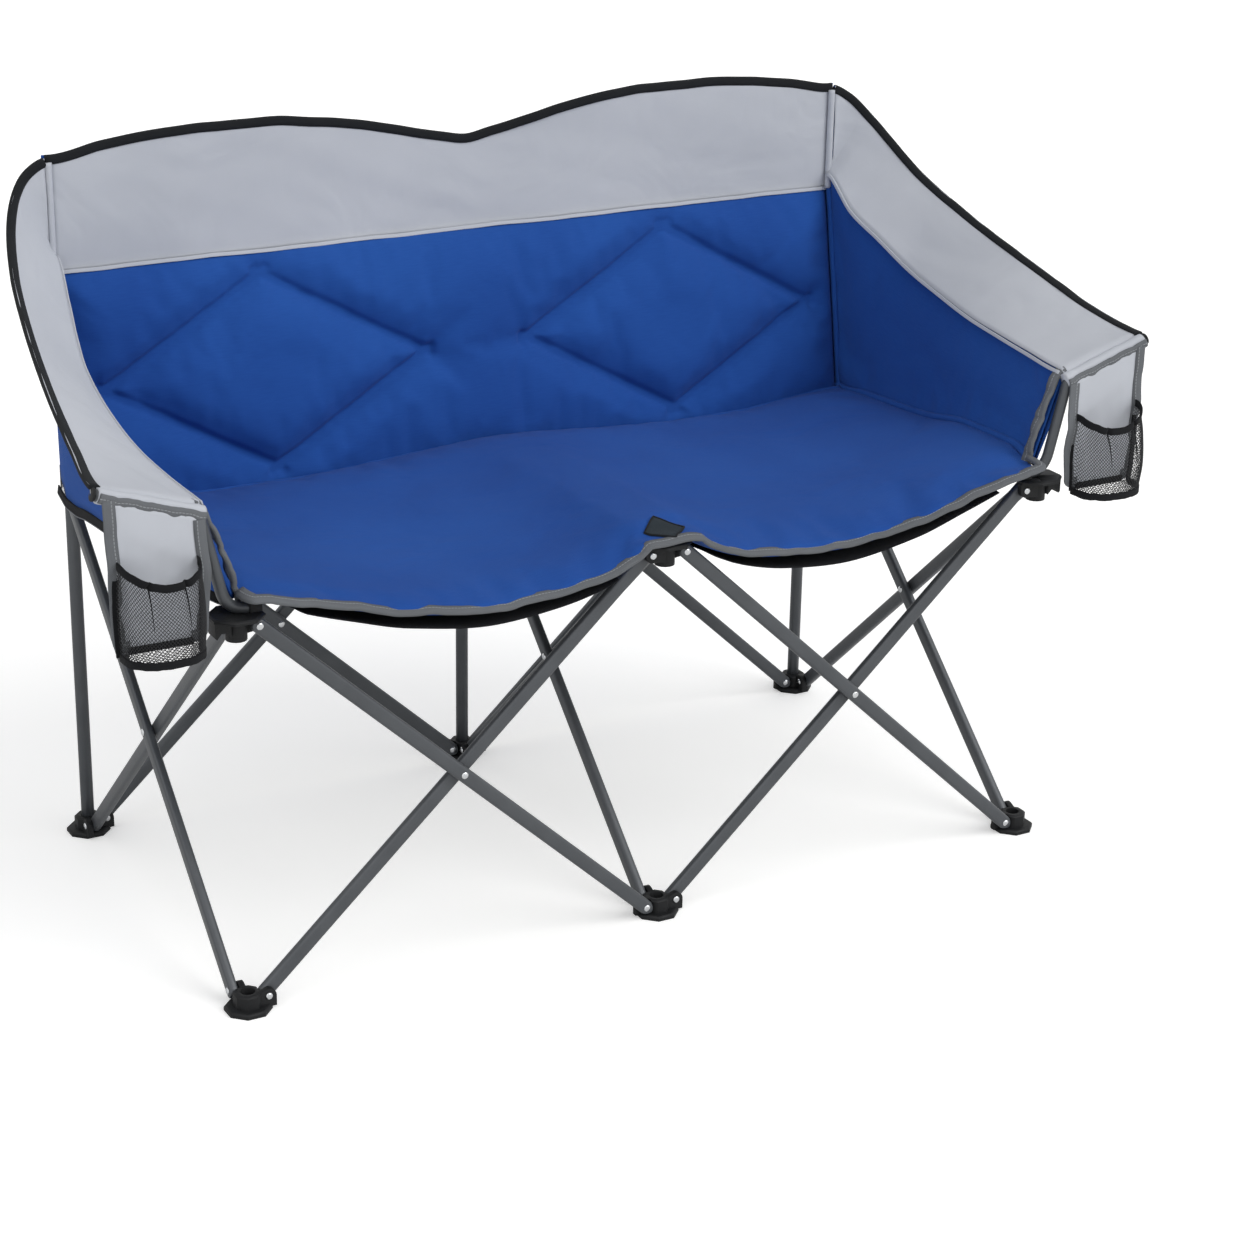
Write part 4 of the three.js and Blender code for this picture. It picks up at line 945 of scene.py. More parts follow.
def wing_top_path(ts):
    """The top rail, and then a round shoulder in to the back's corner."""
    rail = wing_top_rail(np.minimum(ts, round_from))
    past = clamp((ts - round_from) / (round_to - round_from))[:, None]
    shoulder = ((1 - past) ** 3 * rail + 3 * past * (1 - past) ** 2 * shoulder_start
                + 3 * past ** 2 * (1 - past) * (wing_corner + shoulder_reach) + past ** 3 * wing_corner)
    return np.where(past > 0, shoulder, rail)


def tucked(t, offset, inside):
    """Turns the front end of a layer down into the hem round the arm tube."""
    return mix(inside, offset, clamp((t + 0.013) / 0.013))


def wing_seam_path(ts):
    rail = wing_middle_rail(np.minimum(ts, 1))
    return mix(rail, np.array([wing_corner[0], 0.505, 0.746]), past_wing(ts))


def wing_shell_foot(ts):
    foot = wing_foot_rail(np.clip(ts, -0.001, 1))
    return mix(foot, np.array([0.534, 0.503, 0.470]), past_wing(ts))


def band_inside(t, s):
    waves = 0.0016 * np.sin(np.pi * s) * ripple(t * 8 + s, s * 3 + t * 5)
    return tucked(t, -0.0036 + waves, 0.003)


def band_outside(t, s):
    waves = 0.0006 * np.sin(np.pi * s) * ripple(t * 7, s * 4 + t * 6)
    return tucked(t, -0.0004 + waves, 0.005)


def shell_outside(t, s):
    return 0.0095 + 0.006 * fullness(clamp(t)) * fullness(s)


sheets = {}
cloth_thick = 0.001


def add_sheet(name, points, finish, flip=False):
    """A single layer with its finish, kept by name for the riding at the end."""
    piece = sheet_piece(name, points, cloth_thick, flip=flip)
    dress(piece, finish)
    sheets[name] = piece


add_sheet("back_band_cloth", back_sheet(0.0038, seam_height - 0.004, 19, 0.0016), grey_cloth)
add_sheet("back_shell", back_sheet(0.0004, back_bottom + 0.001, 43, 0.0006, 0.5375), blue_cloth)
band_ts = np.concatenate([[-0.013], np.linspace(0, 1, 55), np.linspace(1.01, wing_end, 10)])
band_shares, shell_shares = np.linspace(0, 1, 17), np.linspace(0, 0.97, 13)
blend_in = np.linspace(0, 1, 13)[:, None, None] ** 8
for side_name, side in sides.items():
    inner = wing_sheet(side, band_ts, band_shares, wing_seam_path, wing_top_path, band_inside)
    add_sheet(f"wing_band_cloth_{side_name}", inner, grey_cloth, flip=side < 0)
    outer = wing_sheet(side, band_ts, band_shares, wing_seam_path, wing_top_path, band_outside)
    low_rows = wing_sheet(side, band_ts, shell_shares, wing_shell_foot, wing_seam_path, shell_outside)
    low_rows = mix(low_rows, outer[0][None], blend_in)
    shell_points = np.concatenate([low_rows[:-1], outer])
    add_sheet(f"wing_shell_{side_name}", shell_points, blue_cloth, flip=side < 0)
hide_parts("back_band")
for side_name in sides:
    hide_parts(f"wing_band_{side_name}")
print("single layers", len(sheets))

# %% [markdown]
# ## One section drawn along a line
# Everything long and thin on this seat is a section drawn along a line: a tape folded over a raw edge,
# a piping cord, an elastic band, a tube. One helper sweeps them all. The map of the cut runs along the
# line and outward from the section's first point, so that a row of stitches can follow the line.

# %% Sweeping a section
def unit(vectors):
    return vectors / np.maximum(np.linalg.norm(vectors, axis=-1, keepdims=True), 1e-9)


def swept(path, outward, section, ahead=None, seam=0.0):
    """Points, faces and cut of a closed section of (outward, sideways) points drawn along a path."""
    path = np.asarray(path, float)
    ahead = unit(np.gradient(path, axis=0)) if ahead is None else np.broadcast_to(ahead, path.shape)
    first = np.broadcast_to(np.asarray(outward, float), path.shape)
    first = unit(first - np.sum(first * ahead, -1, keepdims=True) * ahead)
    second = np.cross(ahead, first)
    section = np.broadcast_to(section, (len(path), *np.shape(section)[-2:]))
    points = path[:, None] + first[:, None] * section[..., :1] + second[:, None] * section[..., 1:]
    rings, steps = points.shape[:2]
    faces = [list(f) for f in quads(rings, steps, closed=True)]
    faces += [list(range(steps))[::-1], [(rings - 1) * steps + k for k in range(steps)]]
    travelled = np.concatenate([[0], np.cumsum(np.linalg.norm(np.diff(path, axis=0), axis=1))])
    edges = np.linalg.norm(np.roll(section[0], -1, 0) - section[0], axis=1)
    round_it = np.concatenate([[0], np.cumsum(edges)[:-1]])
    from_nose = np.minimum(round_it, edges.sum() - round_it) - seam
    cut = np.stack(np.broadcast_arrays(travelled[:, None], from_nose[None]), -1)
    return points.reshape(-1, 3), faces, cut


def round_arc(radius, turn):
    return radius * stacked(np.cos(turn), np.sin(turn))


def circle(radius, steps):
    return round_arc(radius, np.linspace(0, 2 * np.pi, steps, endpoint=False))


def folded_tape(width, half):
    """A tape folded over an edge: a round nose, and two flat legs that reach inward."""
    upper = round_arc(half, np.radians([0, 30, 60, 90]))
    legs = np.array([[-width * 0.5, half * 1.08], [-width, half * 0.82]])
    lower = np.concatenate([legs[::-1], upper[:0:-1]]) * (1, -1)
    return np.concatenate([upper, legs, lower])


def flat_tape(width, thick, curl=0.0):
    """A flat band: its thickness lies outward and its width sideways."""
    across = np.linspace(-1, 1, 6)
    bow = curl * (1 - across ** 2)
    outer = stacked(thick / 2 + bow, across * width / 2)
    inner = stacked(-thick / 2 + bow, across * width / 2)[::-1]
    return np.roll(np.concatenate([outer, inner]), -3, axis=0)


trims = {}


def trim(name, finish, path, outward, section, seam=0.0):
    """A swept piece of the cover's edges, kept by name for the riding at the end."""
    piece = place_mesh(name, *swept(path, outward, section, seam=seam))
    dress(piece, finish)
    trims[name] = piece
    return piece


def puckered(path, outward, depth, *lines):
    """A sewn tape draws the cloth up unevenly, so its line wavers a little."""
    return path + unit(np.broadcast_to(outward, path.shape)) * (depth * ripple(*lines))[:, None]


# %% [markdown]
# ## Piping, bindings and seams
# A black tape is folded over the top edge all round, and a grey one over the front edges. Where the
# grey band meets the blue padding, a narrow fold of the band stands up along the seam. The corners
# between the back and the wings, and the seat's own sides and rear, are plain seams with a little
# filler in them.

# %% Piping along the top
top_x = np.linspace(-1, 1, 161) * (back_half + 0.003)
top_line = stacked(top_x, back_rear(back_top(top_x)) - 0.0024, back_top(top_x) - 0.0035)
top_tape, wing_top_tape = folded_tape(0.0084, 0.0029), folded_tape(0.0072, 0.0038)
trim("top_piping_back", piping_cloth, puckered(top_line, (0, 0, 1), 0.0004, top_x * 40, top_x * 23),
     (0, 0, 1), top_tape, seam=0.007)
wing_path_ts = np.concatenate([np.linspace(-0.004, 1, 90), np.linspace(1.01, wing_end, 12)])
for side_name, side in sides.items():
    rail = wing_top_path(np.maximum(wing_path_ts, 0))
    rail[0, 1] -= 0.004
    across = rail - wing_seam_path(np.maximum(wing_path_ts, 0))
    up = unit(across)
    rail = rail - up * 0.0030 - wing_outward(wing_path_ts, across) * 0.0020
    rail = puckered(rail, (0, 0, 1), 0.0004, wing_path_ts * 30, wing_path_ts * 17)
    mirror = np.array([side, 1, 1])
    trim(f"top_piping_{side_name}", piping_cloth, rail * mirror, up * mirror, wing_top_tape, seam=0.007)

# %% Corner seams, and the fold along the seam of the band
for side_name, side in sides.items():
    for part, low, high, finish in (("low", back_bottom, seam_height, blue_cloth),
                                    ("high", seam_height, 0.848, grey_cloth)):
        z = np.linspace(low, high, 40)
        x = side * (back_half + (0.0032 if part == "low" else 0.0010))
        line = stacked(x, back_rear(z) - 0.0070, z)
        trim(f"corner_seam_{part}_{side_name}", finish, line, (-side, -1, 0), circle(0.0044, 10))
    rail = wing_middle_rail(np.linspace(0, 1, 70)) + (-0.0045, 0, 0.001)
    trim(f"band_fold_{side_name}", grey_cloth, rail * (side, 1, 1), (-side, 0, 0.3), flat_tape(0.0042, 0.0018))
fold_x = np.linspace(-1, 1, 120) * (back_half - 0.002)
fold_line = stacked(fold_x, back_head_depth - 0.0072, seam_height)
fold_line = puckered(fold_line, (0, 0, 1), 0.0006, fold_x * 31, fold_x * 13)
trim("band_fold_back", grey_cloth, fold_line, (0, -1, 0.2), flat_tape(0.0044, 0.0020))

# %% Bindings along the front edges
seat_edge_x = np.linspace(-1, 1, 181) * 0.5070
seat_edge_z = (seat_start(seat_edge_x, seat_front + 0.004) + seat_under(seat_edge_x, seat_front + 0.004)) / 2
seat_edge_line = stacked(seat_edge_x, seat_front + 0.003, seat_edge_z)
corner_end = np.array([0.5150, 0.0060, 0.4885])
turn_in = np.linspace(0, 1, 9)[1:, None]


def round_corner(edge_end, side):
    """From the end of the front edge, round to the foot of the wing."""
    knee = np.array([side * 0.5165, edge_end[1] + 0.002, edge_end[2] + 0.001])
    end = corner_end * (side, 1, 1)
    return rounded(edge_end, knee, end, turn_in)


left_end, right_end = round_corner(seat_edge_line[0], -1)[::-1], round_corner(seat_edge_line[-1], 1)
seat_line = np.concatenate([left_end, seat_edge_line, right_end])
seat_out = stacked(clamp((np.abs(seat_line[:, 0]) - 0.505) / 0.02) * np.sign(seat_line[:, 0]), -1, -0.25)
seat_line = puckered(seat_line, (0, 0, 1), 0.0011, seat_line[:, 0] * 62, seat_line[:, 0] * 35)
trim("seat_front_binding", tape_cloth, seat_line, seat_out, folded_tape(0.0098, 0.0031), seam=0.0085)
for side_name, side in sides.items():
    t = np.linspace(0, 1, 46)
    foot, middle = wing_foot_rail(np.array([0.0]))[0], wing_middle_rail(np.array([0.0]))[0]
    bowed = stacked(-0.002 - 0.004 * np.sin(np.pi * t), 0.001, 0)
    line = mix(foot, middle, t[:, None]) + bowed
    line[0] += (0.000, -0.003, -0.009)
    line = puckered(line, (1, 0, 0.3), 0.0016, t * 17, t * 9)
    line = np.concatenate([line, [[0.5590, 0.0075, 0.5950]]])
    t = np.linspace(0, 1, len(line))
    out = stacked(0.35 * np.sin(t * 15 + 1), -1, 0)
    trim(f"wing_front_binding_{side_name}", tape_cloth, line * (side, 1, 1), out * (side, 1, 1),
         folded_tape(0.0095, 0.0030), seam=0.0085)
for side_name, side in sides.items():
    t = np.linspace(0.01, 1, 60)
    line = wing_foot_rail(t) + (0.0006, 0, 0.0010)
    trim(f"seat_side_seam_{side_name}", blue_cloth, line * (side, 1, 1), (-side, 0, 1), circle(0.0060, 12))
seam_x = np.linspace(-1, 1, 120) * 0.528
seam_line = stacked(seam_x, seat_back + 0.0085, seat_top(seam_x, seat_back) - 0.0055)
trim("seat_back_seam", blue_cloth, seam_line, (0, 0, 1), circle(0.0058, 12))
print("edge trims", len(trims))

# %% [markdown]
# ## The arms
# A bent tube stands in each front corner hub and carries the front end of a wing. The grey band is
# turned round it into a hem, closed by a strip of the same grey tape, and the panel with the pocket
# hangs from the hem.

# %% Arm tubes and hems
arm_axis = 0.4738
arm_root, arm_knee = np.array([bay - 0.022, 0, arm_axis]), np.array([bay + 0.010, 0, arm_axis])
arm_elbow, arm_tip = np.array([bay + 0.037, 0, 0.586]), np.array([bay + 0.148, 0, 0.622])


def bend(corner, before, after, reach):
    """A smooth bend that leaves one straight and joins the next at a given reach from the corner."""
    a = corner + unit(before - corner) * reach
    b = corner + unit(after - corner) * reach
    return rounded(a, corner, b, np.linspace(0, 1, 12)[:, None])


arm_line = np.concatenate([arm_root[None], bend(arm_knee, arm_root, arm_elbow, 0.0234),
                           bend(arm_elbow, arm_knee, arm_tip, 0.011), arm_tip[None]])
arm_out = unit(arm_tip - arm_elbow)
arm_up = np.cross(arm_out, (0, 1, 0)) * -1
hem_line = arm_elbow + arm_out * np.linspace(-0.005, 0.114, 48)[:, None]
hem_share = np.linspace(0, 1, 48)
arms = {}
for side_name, side in sides.items():
    mirror = (side, 1, 1)
    tube = place_mesh(f"arm_tube_skin_{side_name}", *swept(arm_line * mirror, (0, 1, 0), circle(0.0065, 24)))
    dress(tube, frame_paint)
    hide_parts(f"arm_tube_{side_name}")
    arms[tube.name] = tube
    sleeve = circle(0.0086, 18)[None] * (1 + 0.05 * ripple(hem_share * 21, hem_share * 8))[:, None, None]
    trim(f"arm_hem_{side_name}", grey_cloth, hem_line * mirror, (0, -1, 0), sleeve)
    turn = np.radians(np.linspace(-26, 34, 9)) * side
    strip = np.roll(np.concatenate([round_arc(0.0108, turn), round_arc(0.0092, turn[::-1])]), -4, axis=0)
    widths = 1 + 0.05 * ripple(hem_share * 26, hem_share * 15)
    waver = puckered(hem_line, arm_up, 0.0006, hem_share * 24, hem_share * 11)
    trim(f"arm_tape_{side_name}", tape_cloth, waver * mirror, (0, -1, 0), strip[None] * widths[:, None, None])
print("arm pieces", len(arms), "arm rise", round(float(arm_tip[2] - arm_elbow[2]), 3))

# %% [markdown]
# ## Hanging panels
# Under each arm hangs a flat grey panel. Its sides are bound with the grey tape, which goes round the
# bottom corners, and its bottom edge is bound in black, because the pocket's floor is sewn in there.

# %% Panels
panel_low, panel_front = 0.4490, -0.0098
panel_sides = {"inner": 0.5550, "outer": 0.6620}


def arm_height(x):
    return arm_elbow[2] + (x - arm_elbow[0]) * arm_out[2] / arm_out[0]


def panel_edge(which, v):
    """A side edge of the panel from its bottom, at nought, to the arm, at one."""
    if which == "inner":
        x = panel_sides["inner"] - 0.0035 * np.sin(np.pi * v) ** 2 + 0.0015 * (1 - v)
    else:
        x = panel_sides["outer"] - 0.0045 * (1 - v)
    return x, mix(panel_low, arm_height(x) - 0.0030, v)


def panel_point(u, v):
    left, right = panel_edge("inner", v), panel_edge("outer", v)
    corner = 0.010 * clamp(1 - v / 0.08) ** 2
    x = mix(left[0] + corner, right[0] - corner, u)
    z = mix(left[1], right[1], u)
    belly = 0.0030 * np.sin(np.pi * u) * np.sin(np.pi * v)
    folds = 0.0013 * np.sin(np.pi * v) * ripple(u * 9 + v * 2, v * 7 - u * 2)
    near_sides = bump(u, 0.16) + bump(1 - u, 0.16)
    pulled = 0.0035 * bump(v - 0.58, 0.10) * near_sides
    y = panel_front - belly - folds - pulled
    return stacked(x, y, z)


def tape_path(which, side):
    """Down one side of the panel and round its bottom corner."""
    v = np.linspace(1, 0.085, 36)
    u = 0 * v + (which == "outer")
    line = panel_point(u, v)
    inward = 1 if which == "inner" else -1
    turn = np.linspace(0, 1, 9)[1:, None]
    start, end = line[-1], line[-1] + (inward * 0.017, 0, 0)
    knee = line[-1] + (inward * 0.0015, 0, 0)
    end[2] = knee[2] = panel_low + 0.002
    line = np.concatenate([line, rounded(start, knee, end, turn)])
    out = np.zeros_like(line)
    out[:36, 0] = -inward
    out[36:, 0] = -inward * (1 - turn[:, 0])
    out[36:, 2] = -turn[:, 0]
    line = puckered(line, (0, -1, 0), 0.0004, line[:, 2] * 150, line[:, 2] * 81)
    return line * (side, 1, 1), out * (side, 1, 1)


for side_name, side in sides.items():
    u, v = np.meshgrid(np.linspace(0, 1, 29), np.linspace(0, 1, 39))
    panel_name = f"hanging_panel_cloth_{side_name}"
    add_sheet(panel_name, panel_point(u, v) * (side, 1, 1), grey_cloth, flip=side < 0)
    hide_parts(f"hanging_panel_{side_name}")
    for which in panel_sides:
        line, out = tape_path(which, side)
        trim(f"panel_tape_{which}_{side_name}", tape_cloth, line, out, folded_tape(0.0120, 0.0016), seam=0.0105)
    u = np.linspace(0.06, 0.94, 30)
    line = panel_point(u, 0 * u + 0.002) * (side, 1, 1)
    trim(f"panel_bottom_band_{side_name}", black_cloth, line, (0, 0, -1), folded_tape(0.0064, 0.0018),
         seam=0.005)
print("panel height", round(float(panel_edge("outer", 1.0)[1] - panel_low), 3))

# %% [markdown]
# ## Net pockets
# The pocket is a bag of black net with an elastic along its mouth, a band round its floor and a strip
# where each side meets the panel. The net is real geometry: a grid of small diamonds, turned into
# threads by a Wireframe modifier, so that one can see through it from anywhere.

# %% Net made of diamonds
def diamond_net(name, surface, columns, rows, thread):
    """Threads along the sides of diamonds, on a surface given by two shares."""
    i, j = np.meshgrid(np.arange(columns + 1), np.arange(rows + 1), indexing="ij")
    points = surface(i.ravel() / columns, j.ravel() / rows)
    faces = []
    for a in range(columns + 1):
        for b in range(rows + 1):
            if (a + b) % 2:
                ring = [(a - 1, b), (a, b - 1), (a + 1, b), (a, b + 1)]
                kept = [p * (rows + 1) + q for p, q in ring if 0 <= p <= columns and 0 <= q <= rows]
                if len(kept) > 2:
                    faces.append(kept)
    used = np.unique(np.concatenate([np.array(f) for f in faces]))
    renumber = {old: new for new, old in enumerate(used.tolist())}
    net = place_mesh(name, points[used], [[renumber[k] for k in f] for f in faces])
    threads = net.modifiers.new("threads", "WIREFRAME")
    threads.thickness = thread
    threads.use_even_offset = False
    dress(net, yarn_black)
    return net


pocket_mid, pocket_half = 0.6085, 0.0430
pocket_low, pocket_mouth, pocket_dip, pocket_deep = 0.4450, 0.5440, 0.0170, 0.0480
pocket_rear = panel_front - 0.0016
pocket_girth = [[0, 0.90], [0.35, 1], [0.75, 0.88], [1, 0.72]]
net_cell, net_thread = 0.0047, 0.0010


def pocket_wall(turn, height, swell=0.0):
    """The net's wall: turn runs from the inner to the outer side, height from the floor to the mouth."""
    angle = np.pi * turn
    pleats = sum(bump(turn - place, 0.018) for place in (0.36, 0.66))
    deep = np.sin(angle) ** 0.62 * (pocket_deep * along(pocket_girth, height) + swell)
    deep = deep - 0.0040 * pleats * clamp(height - 0.35) / 0.65
    bow = 0.0022 * np.sin(np.pi * height) * np.sign(np.cos(angle)) * np.abs(np.cos(angle)) ** 3
    x = pocket_mid - (pocket_half + swell) * np.cos(angle) - bow
    ends = mix(0.0, 0.0035 * np.cos(angle), height)
    z = mix(pocket_low, pocket_mouth, height) - pocket_dip * np.sin(angle) ** 1.5 * height ** 2 + ends * -1
    return stacked(x, pocket_rear - np.maximum(deep, 0), z)


def pocket_floor(across, forward):
    """The floor: a half round of net that sags a little between its bands."""
    rim = pocket_wall(across, 0 * across)
    rear = stacked(rim[..., 0], pocket_rear, pocket_low + 0.003)
    point = mix(rear, rim, forward[..., None])
    point[..., 2] -= 0.006 * np.sin(np.pi * forward) * np.sin(np.pi * across)
    return point


nets = {}
for side_name, side in sides.items():
    mirror = np.array([side, 1, 1])
    girth = 2 * pocket_half + 1.6 * pocket_deep
    columns = 2 * round(girth / net_cell)
    rows = 2 * round((pocket_mouth - pocket_low - 0.004) / net_cell)
    wall = diamond_net(f"pocket_net_wall_{side_name}", lambda a, b: pocket_wall(a, b * 0.96) * mirror,
                       columns, rows, net_thread)
    floor_net = diamond_net(f"pocket_net_floor_{side_name}", lambda a, b: pocket_floor(a, b) * mirror,
                            2 * round(2 * pocket_half / net_cell), 2 * round(pocket_deep / net_cell),
                            net_thread)
    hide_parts(f"net_pocket_{side_name}")
    nets[wall.name], nets[floor_net.name] = wall, floor_net
    a = np.linspace(0, 1, 60)
    from_middle = np.array([pocket_mid * side, pocket_rear, 0])
    for part, height, width, thick, curl in (("elastic", 1.0, 0.0085, 0.0016, 0.0004),
                                             ("floor_band", 0.02, 0.0085, 0.0018, 0.0)):
        line = pocket_wall(a, 0 * a + height, 0.0006) * mirror
        out = (line - from_middle) * (1, 1, 0) + np.array([0, -0.004, 0])
        line = puckered(line, (0, 0, 1), 0.0004, a * 33, a * 19)
        trim(f"pocket_{part}_{side_name}", black_cloth, line, out, flat_tape(width, thick, curl))
    for part, turn in (("inner", 0.0), ("outer", 1.0)):
        h = np.linspace(0.02, 0.98, 26)
        line = (pocket_wall(0 * h + turn, h) + (0.0012 * (1 if turn else -1), 0, 0)) * mirror
        trim(f"pocket_side_strip_{part}_{side_name}", black_cloth, line, (0, -1, 0),
             flat_tape(0.0040 if turn == 0 else 0.0068, 0.0014))
    for part, turn in (("first", 0.36), ("second", 0.66)):
        h = np.linspace(0.45, 0.93, 12)
        line = pocket_wall(0 * h + turn, h, 0.0004) * mirror
        thin = np.linspace(0.35, 1, 12)[:, None, None]
        trim(f"pocket_pleat_{part}_{side_name}", black_cloth, line, (0, -1, 0), circle(0.0009, 8)[None] * thin)
    print(wall.name, columns, "by", rows, "half cells")

# %% [markdown]
# ## Scissor tubes and rivets
# Each scissor leg is a flat-sided oval steel tube with rounded ends. A rivet with a domed, bright head
# goes through each end and through the crossing. The CAD tubes are coarser copies with their rivets
# fused on, so here each leg gets a finer skin, and its rivets become bright pieces of their own.

# %% Legs
stations = {"front_left": (-bay, 0), "front_centre": (0, 0), "front_right": (bay, 0),
            "back_left": (-bay, bay), "back_centre": (0, bay), "back_right": (bay, bay)}
bays = {"front_left": ("front_left", "front_centre", 0), "front_right": ("front_centre", "front_right", 0),
        "back_left": ("back_left", "back_centre", 0), "back_right": ("back_centre", "back_right", 0),
        "side_left": ("back_left", "front_left", -1), "middle": ("back_centre", "front_centre", -1),
        "side_right": ("front_right", "back_right", 1)}
tube_deep, tube_thick, tube_corner, pair_gap, plane_offset = 0.017, 0.011, 0.0040, 0.001, 0.004
ear_thick, rivet_radius, rivet_head, rivet_dome = 0.007, 0.0025, 0.0043, 0.0017


def oval_section(wide, thick, corner):
    """A rounded rectangle, five points to each corner."""
    arc = round_arc(corner, np.linspace(0, np.pi / 2, 5))
    first = arc + (wide / 2 - corner, thick / 2 - corner)
    second = (arc[::-1] * (-1, 1)) + (-wide / 2 + corner, thick / 2 - corner)
    upper = np.concatenate([first, second])
    return np.concatenate([upper, -upper])


def leg_geometry():
    """A leg along +x from its lower pivot, each end closed by a half round."""
    reach = tube_deep / 2
    turn = np.radians(np.linspace(4, 90, 9))
    low = -reach * np.cos(turn)
    share = np.sin(turn)
    x = np.concatenate([low, np.linspace(0.03, 0.97, 12) * tube_length, (tube_length - low)[::-1]])
    narrow = np.concatenate([share, np.ones(12), share[::-1]])
    section = oval_section(tube_deep, tube_thick, tube_corner)[None]
    section = section * stacked(narrow, 1)[:, None]
    path = stacked(x, 0, 0)
    return swept(path, (0, 0, 1), section, ahead=(1, 0, 0))


def domed_rivet(centre, low, high):
    """A rivet along y, with a domed head at each end."""
    rise = np.array([1.0, 0.92, 0.72, 0.45, 0.12, 0.0])
    wide = np.array([0.12, 0.45, 0.72, 0.90, 1.0, 1.0]) * rivet_head
    dome, inset = rise * rivet_dome, 0.00002
    y = np.concatenate([low - dome, [low + inset, high - inset], high + dome[::-1]])
    radius = np.concatenate([wide, [rivet_radius, rivet_radius], wide[::-1]])
    section = circle(1.0, 16)[None] * radius[:, None, None]
    path = stacked(centre, y, 0)
    return swept(path, (1, 0, 0), section, ahead=(0, 1, 0))[:2]


def carried(matrix, points):
    return np.asarray(points).reshape(-1, 3) @ np.array(matrix.to_3x3()).T + np.array(matrix.translation)


leg_points, leg_faces, _ = leg_geometry()
legs, rivets = {}, {}
for bay_name, (near, far, quarter) in bays.items():
    (x0, y0), (x1, y1) = stations[near], stations[far]
    pair = Matrix.Translation(((x0 + x1) / 2, (y0 + y1) / 2, 0))
    pair = pair @ Matrix.Rotation(quarter * math.pi / 2, 4, "Z")
    pair = pair @ Matrix.Translation((0, -plane_offset, 0))
    for half, foot_name in ((0, far), (1, near)):
        place = pair @ Matrix.Rotation(half * math.pi, 4, "Z")
        place = place @ Matrix.Translation((pivot_span / 2, -(tube_thick + pair_gap) / 2, foot_pivot))
        place = place @ Matrix.Rotation(tube_lean - math.pi, 4, "Y")
        node_name = f"tube_{bay_name}_from_{foot_name}"
        leg = place_mesh(f"leg_{bay_name}_from_{foot_name}", carried(place, leg_points), leg_faces)
        dress(leg, frame_paint)
        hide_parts(node_name)
        legs[node_name] = leg
        ends = [domed_rivet(x, -tube_thick / 2, tube_thick / 2 + ear_thick + 0.0006) for x in (0, tube_length)]
        points = np.concatenate([carried(place, p) for p, _ in ends])
        count = len(ends[0][0])
        faces = ends[0][1] + [[k + count for k in face] for face in ends[1][1]]
        heads = place_mesh(f"rivets_{bay_name}_from_{foot_name}", points, faces)
        rivets[node_name] = [heads]
        if half == 0:
            middle = pair @ Matrix.Translation((0, 0, foot_pivot + pivot_rise / 2))
            reach = tube_thick + pair_gap / 2 + 0.0002
            points, faces = domed_rivet(0, -reach, reach)
            crossing = place_mesh(f"crossing_pin_{bay_name}", carried(middle, points), faces)
            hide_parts(f"crossing_rivet_{bay_name}")
            rivets[node_name].append(crossing)
for pins in rivets.values():
    for pin in pins:
        dress(pin, bright_steel)
print("legs", len(legs), "rivet pieces", sum(len(p) for p in rivets.values()))

# %% [markdown]
# ## Under and behind the seat
# A black sling is sewn under the padding and shows below the front tape between the hubs, where it is
# cut back round each hub. A black strip along the foot of the outer shell is painted shadow, for the dark
# gap between the arm tube and the wing. Behind, three short pockets slip over the tops of the posts; the
# photograph doesn't show them, but the cover needs them to hang.

# %% Sling
hub_cut, cut_slope = 0.060, 0.012
sling_x = np.concatenate([
    np.linspace(0, hub_cut, 9), np.linspace(hub_cut + cut_slope, bay - hub_cut - cut_slope, 38),
    np.linspace(bay - hub_cut, bay + 0.002, 9)])
sling_x = np.concatenate([-sling_x[:0:-1], sling_x])


def sling_front(x):
    """Where the sling starts: at the front tape, or behind a hub."""
    near_hub = np.minimum(np.abs(x), np.abs(np.abs(x) - bay))
    return mix(0.0360, seat_front + 0.0065, clamp((near_hub - hub_cut) / cut_slope))


share, x = np.meshgrid(np.linspace(0, 1, 41) ** 1.4, sling_x, indexing="ij")
y = mix(sling_front(x), 0.4340, share)
between = clamp((np.abs(x) - hub_cut) / (bay - 2 * hub_cut))
droop = 0.0105 * np.sin(np.pi * between) ** 0.7 * bump(share, 0.16)
z = seat_under(x, y) - 0.0035 - droop - 0.0010 * (1 + ripple(x * 9, y * 12))
sling = sheet_piece("sling_cloth", stacked(x, y, z), cloth_thick)
dress(sling, black_cloth)
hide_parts("seat_sling")
print("sling points", len(sling.data.vertices))

# %% Patch in front of the sitters, and its corded border
patch_half, patch_middle = 0.0270, 0.0020


def on_seat(x, y, lift):
    """The height of the padding's upper face at a place, found by looking straight down at it."""
    found, place, _, _ = seat_pad.ray_cast(Vector((float(x), float(y) + front_row, 0.7)), Vector((0, 0, -1)))
    return (place.z if found else float(seat_top(x, y))) + lift


def diamond_points(u, v, lift):
    x, y = (u - v) * patch_half, (u + v - 1) * patch_half + patch_middle
    return stacked(x, y, np.vectorize(on_seat)(x, y, lift))


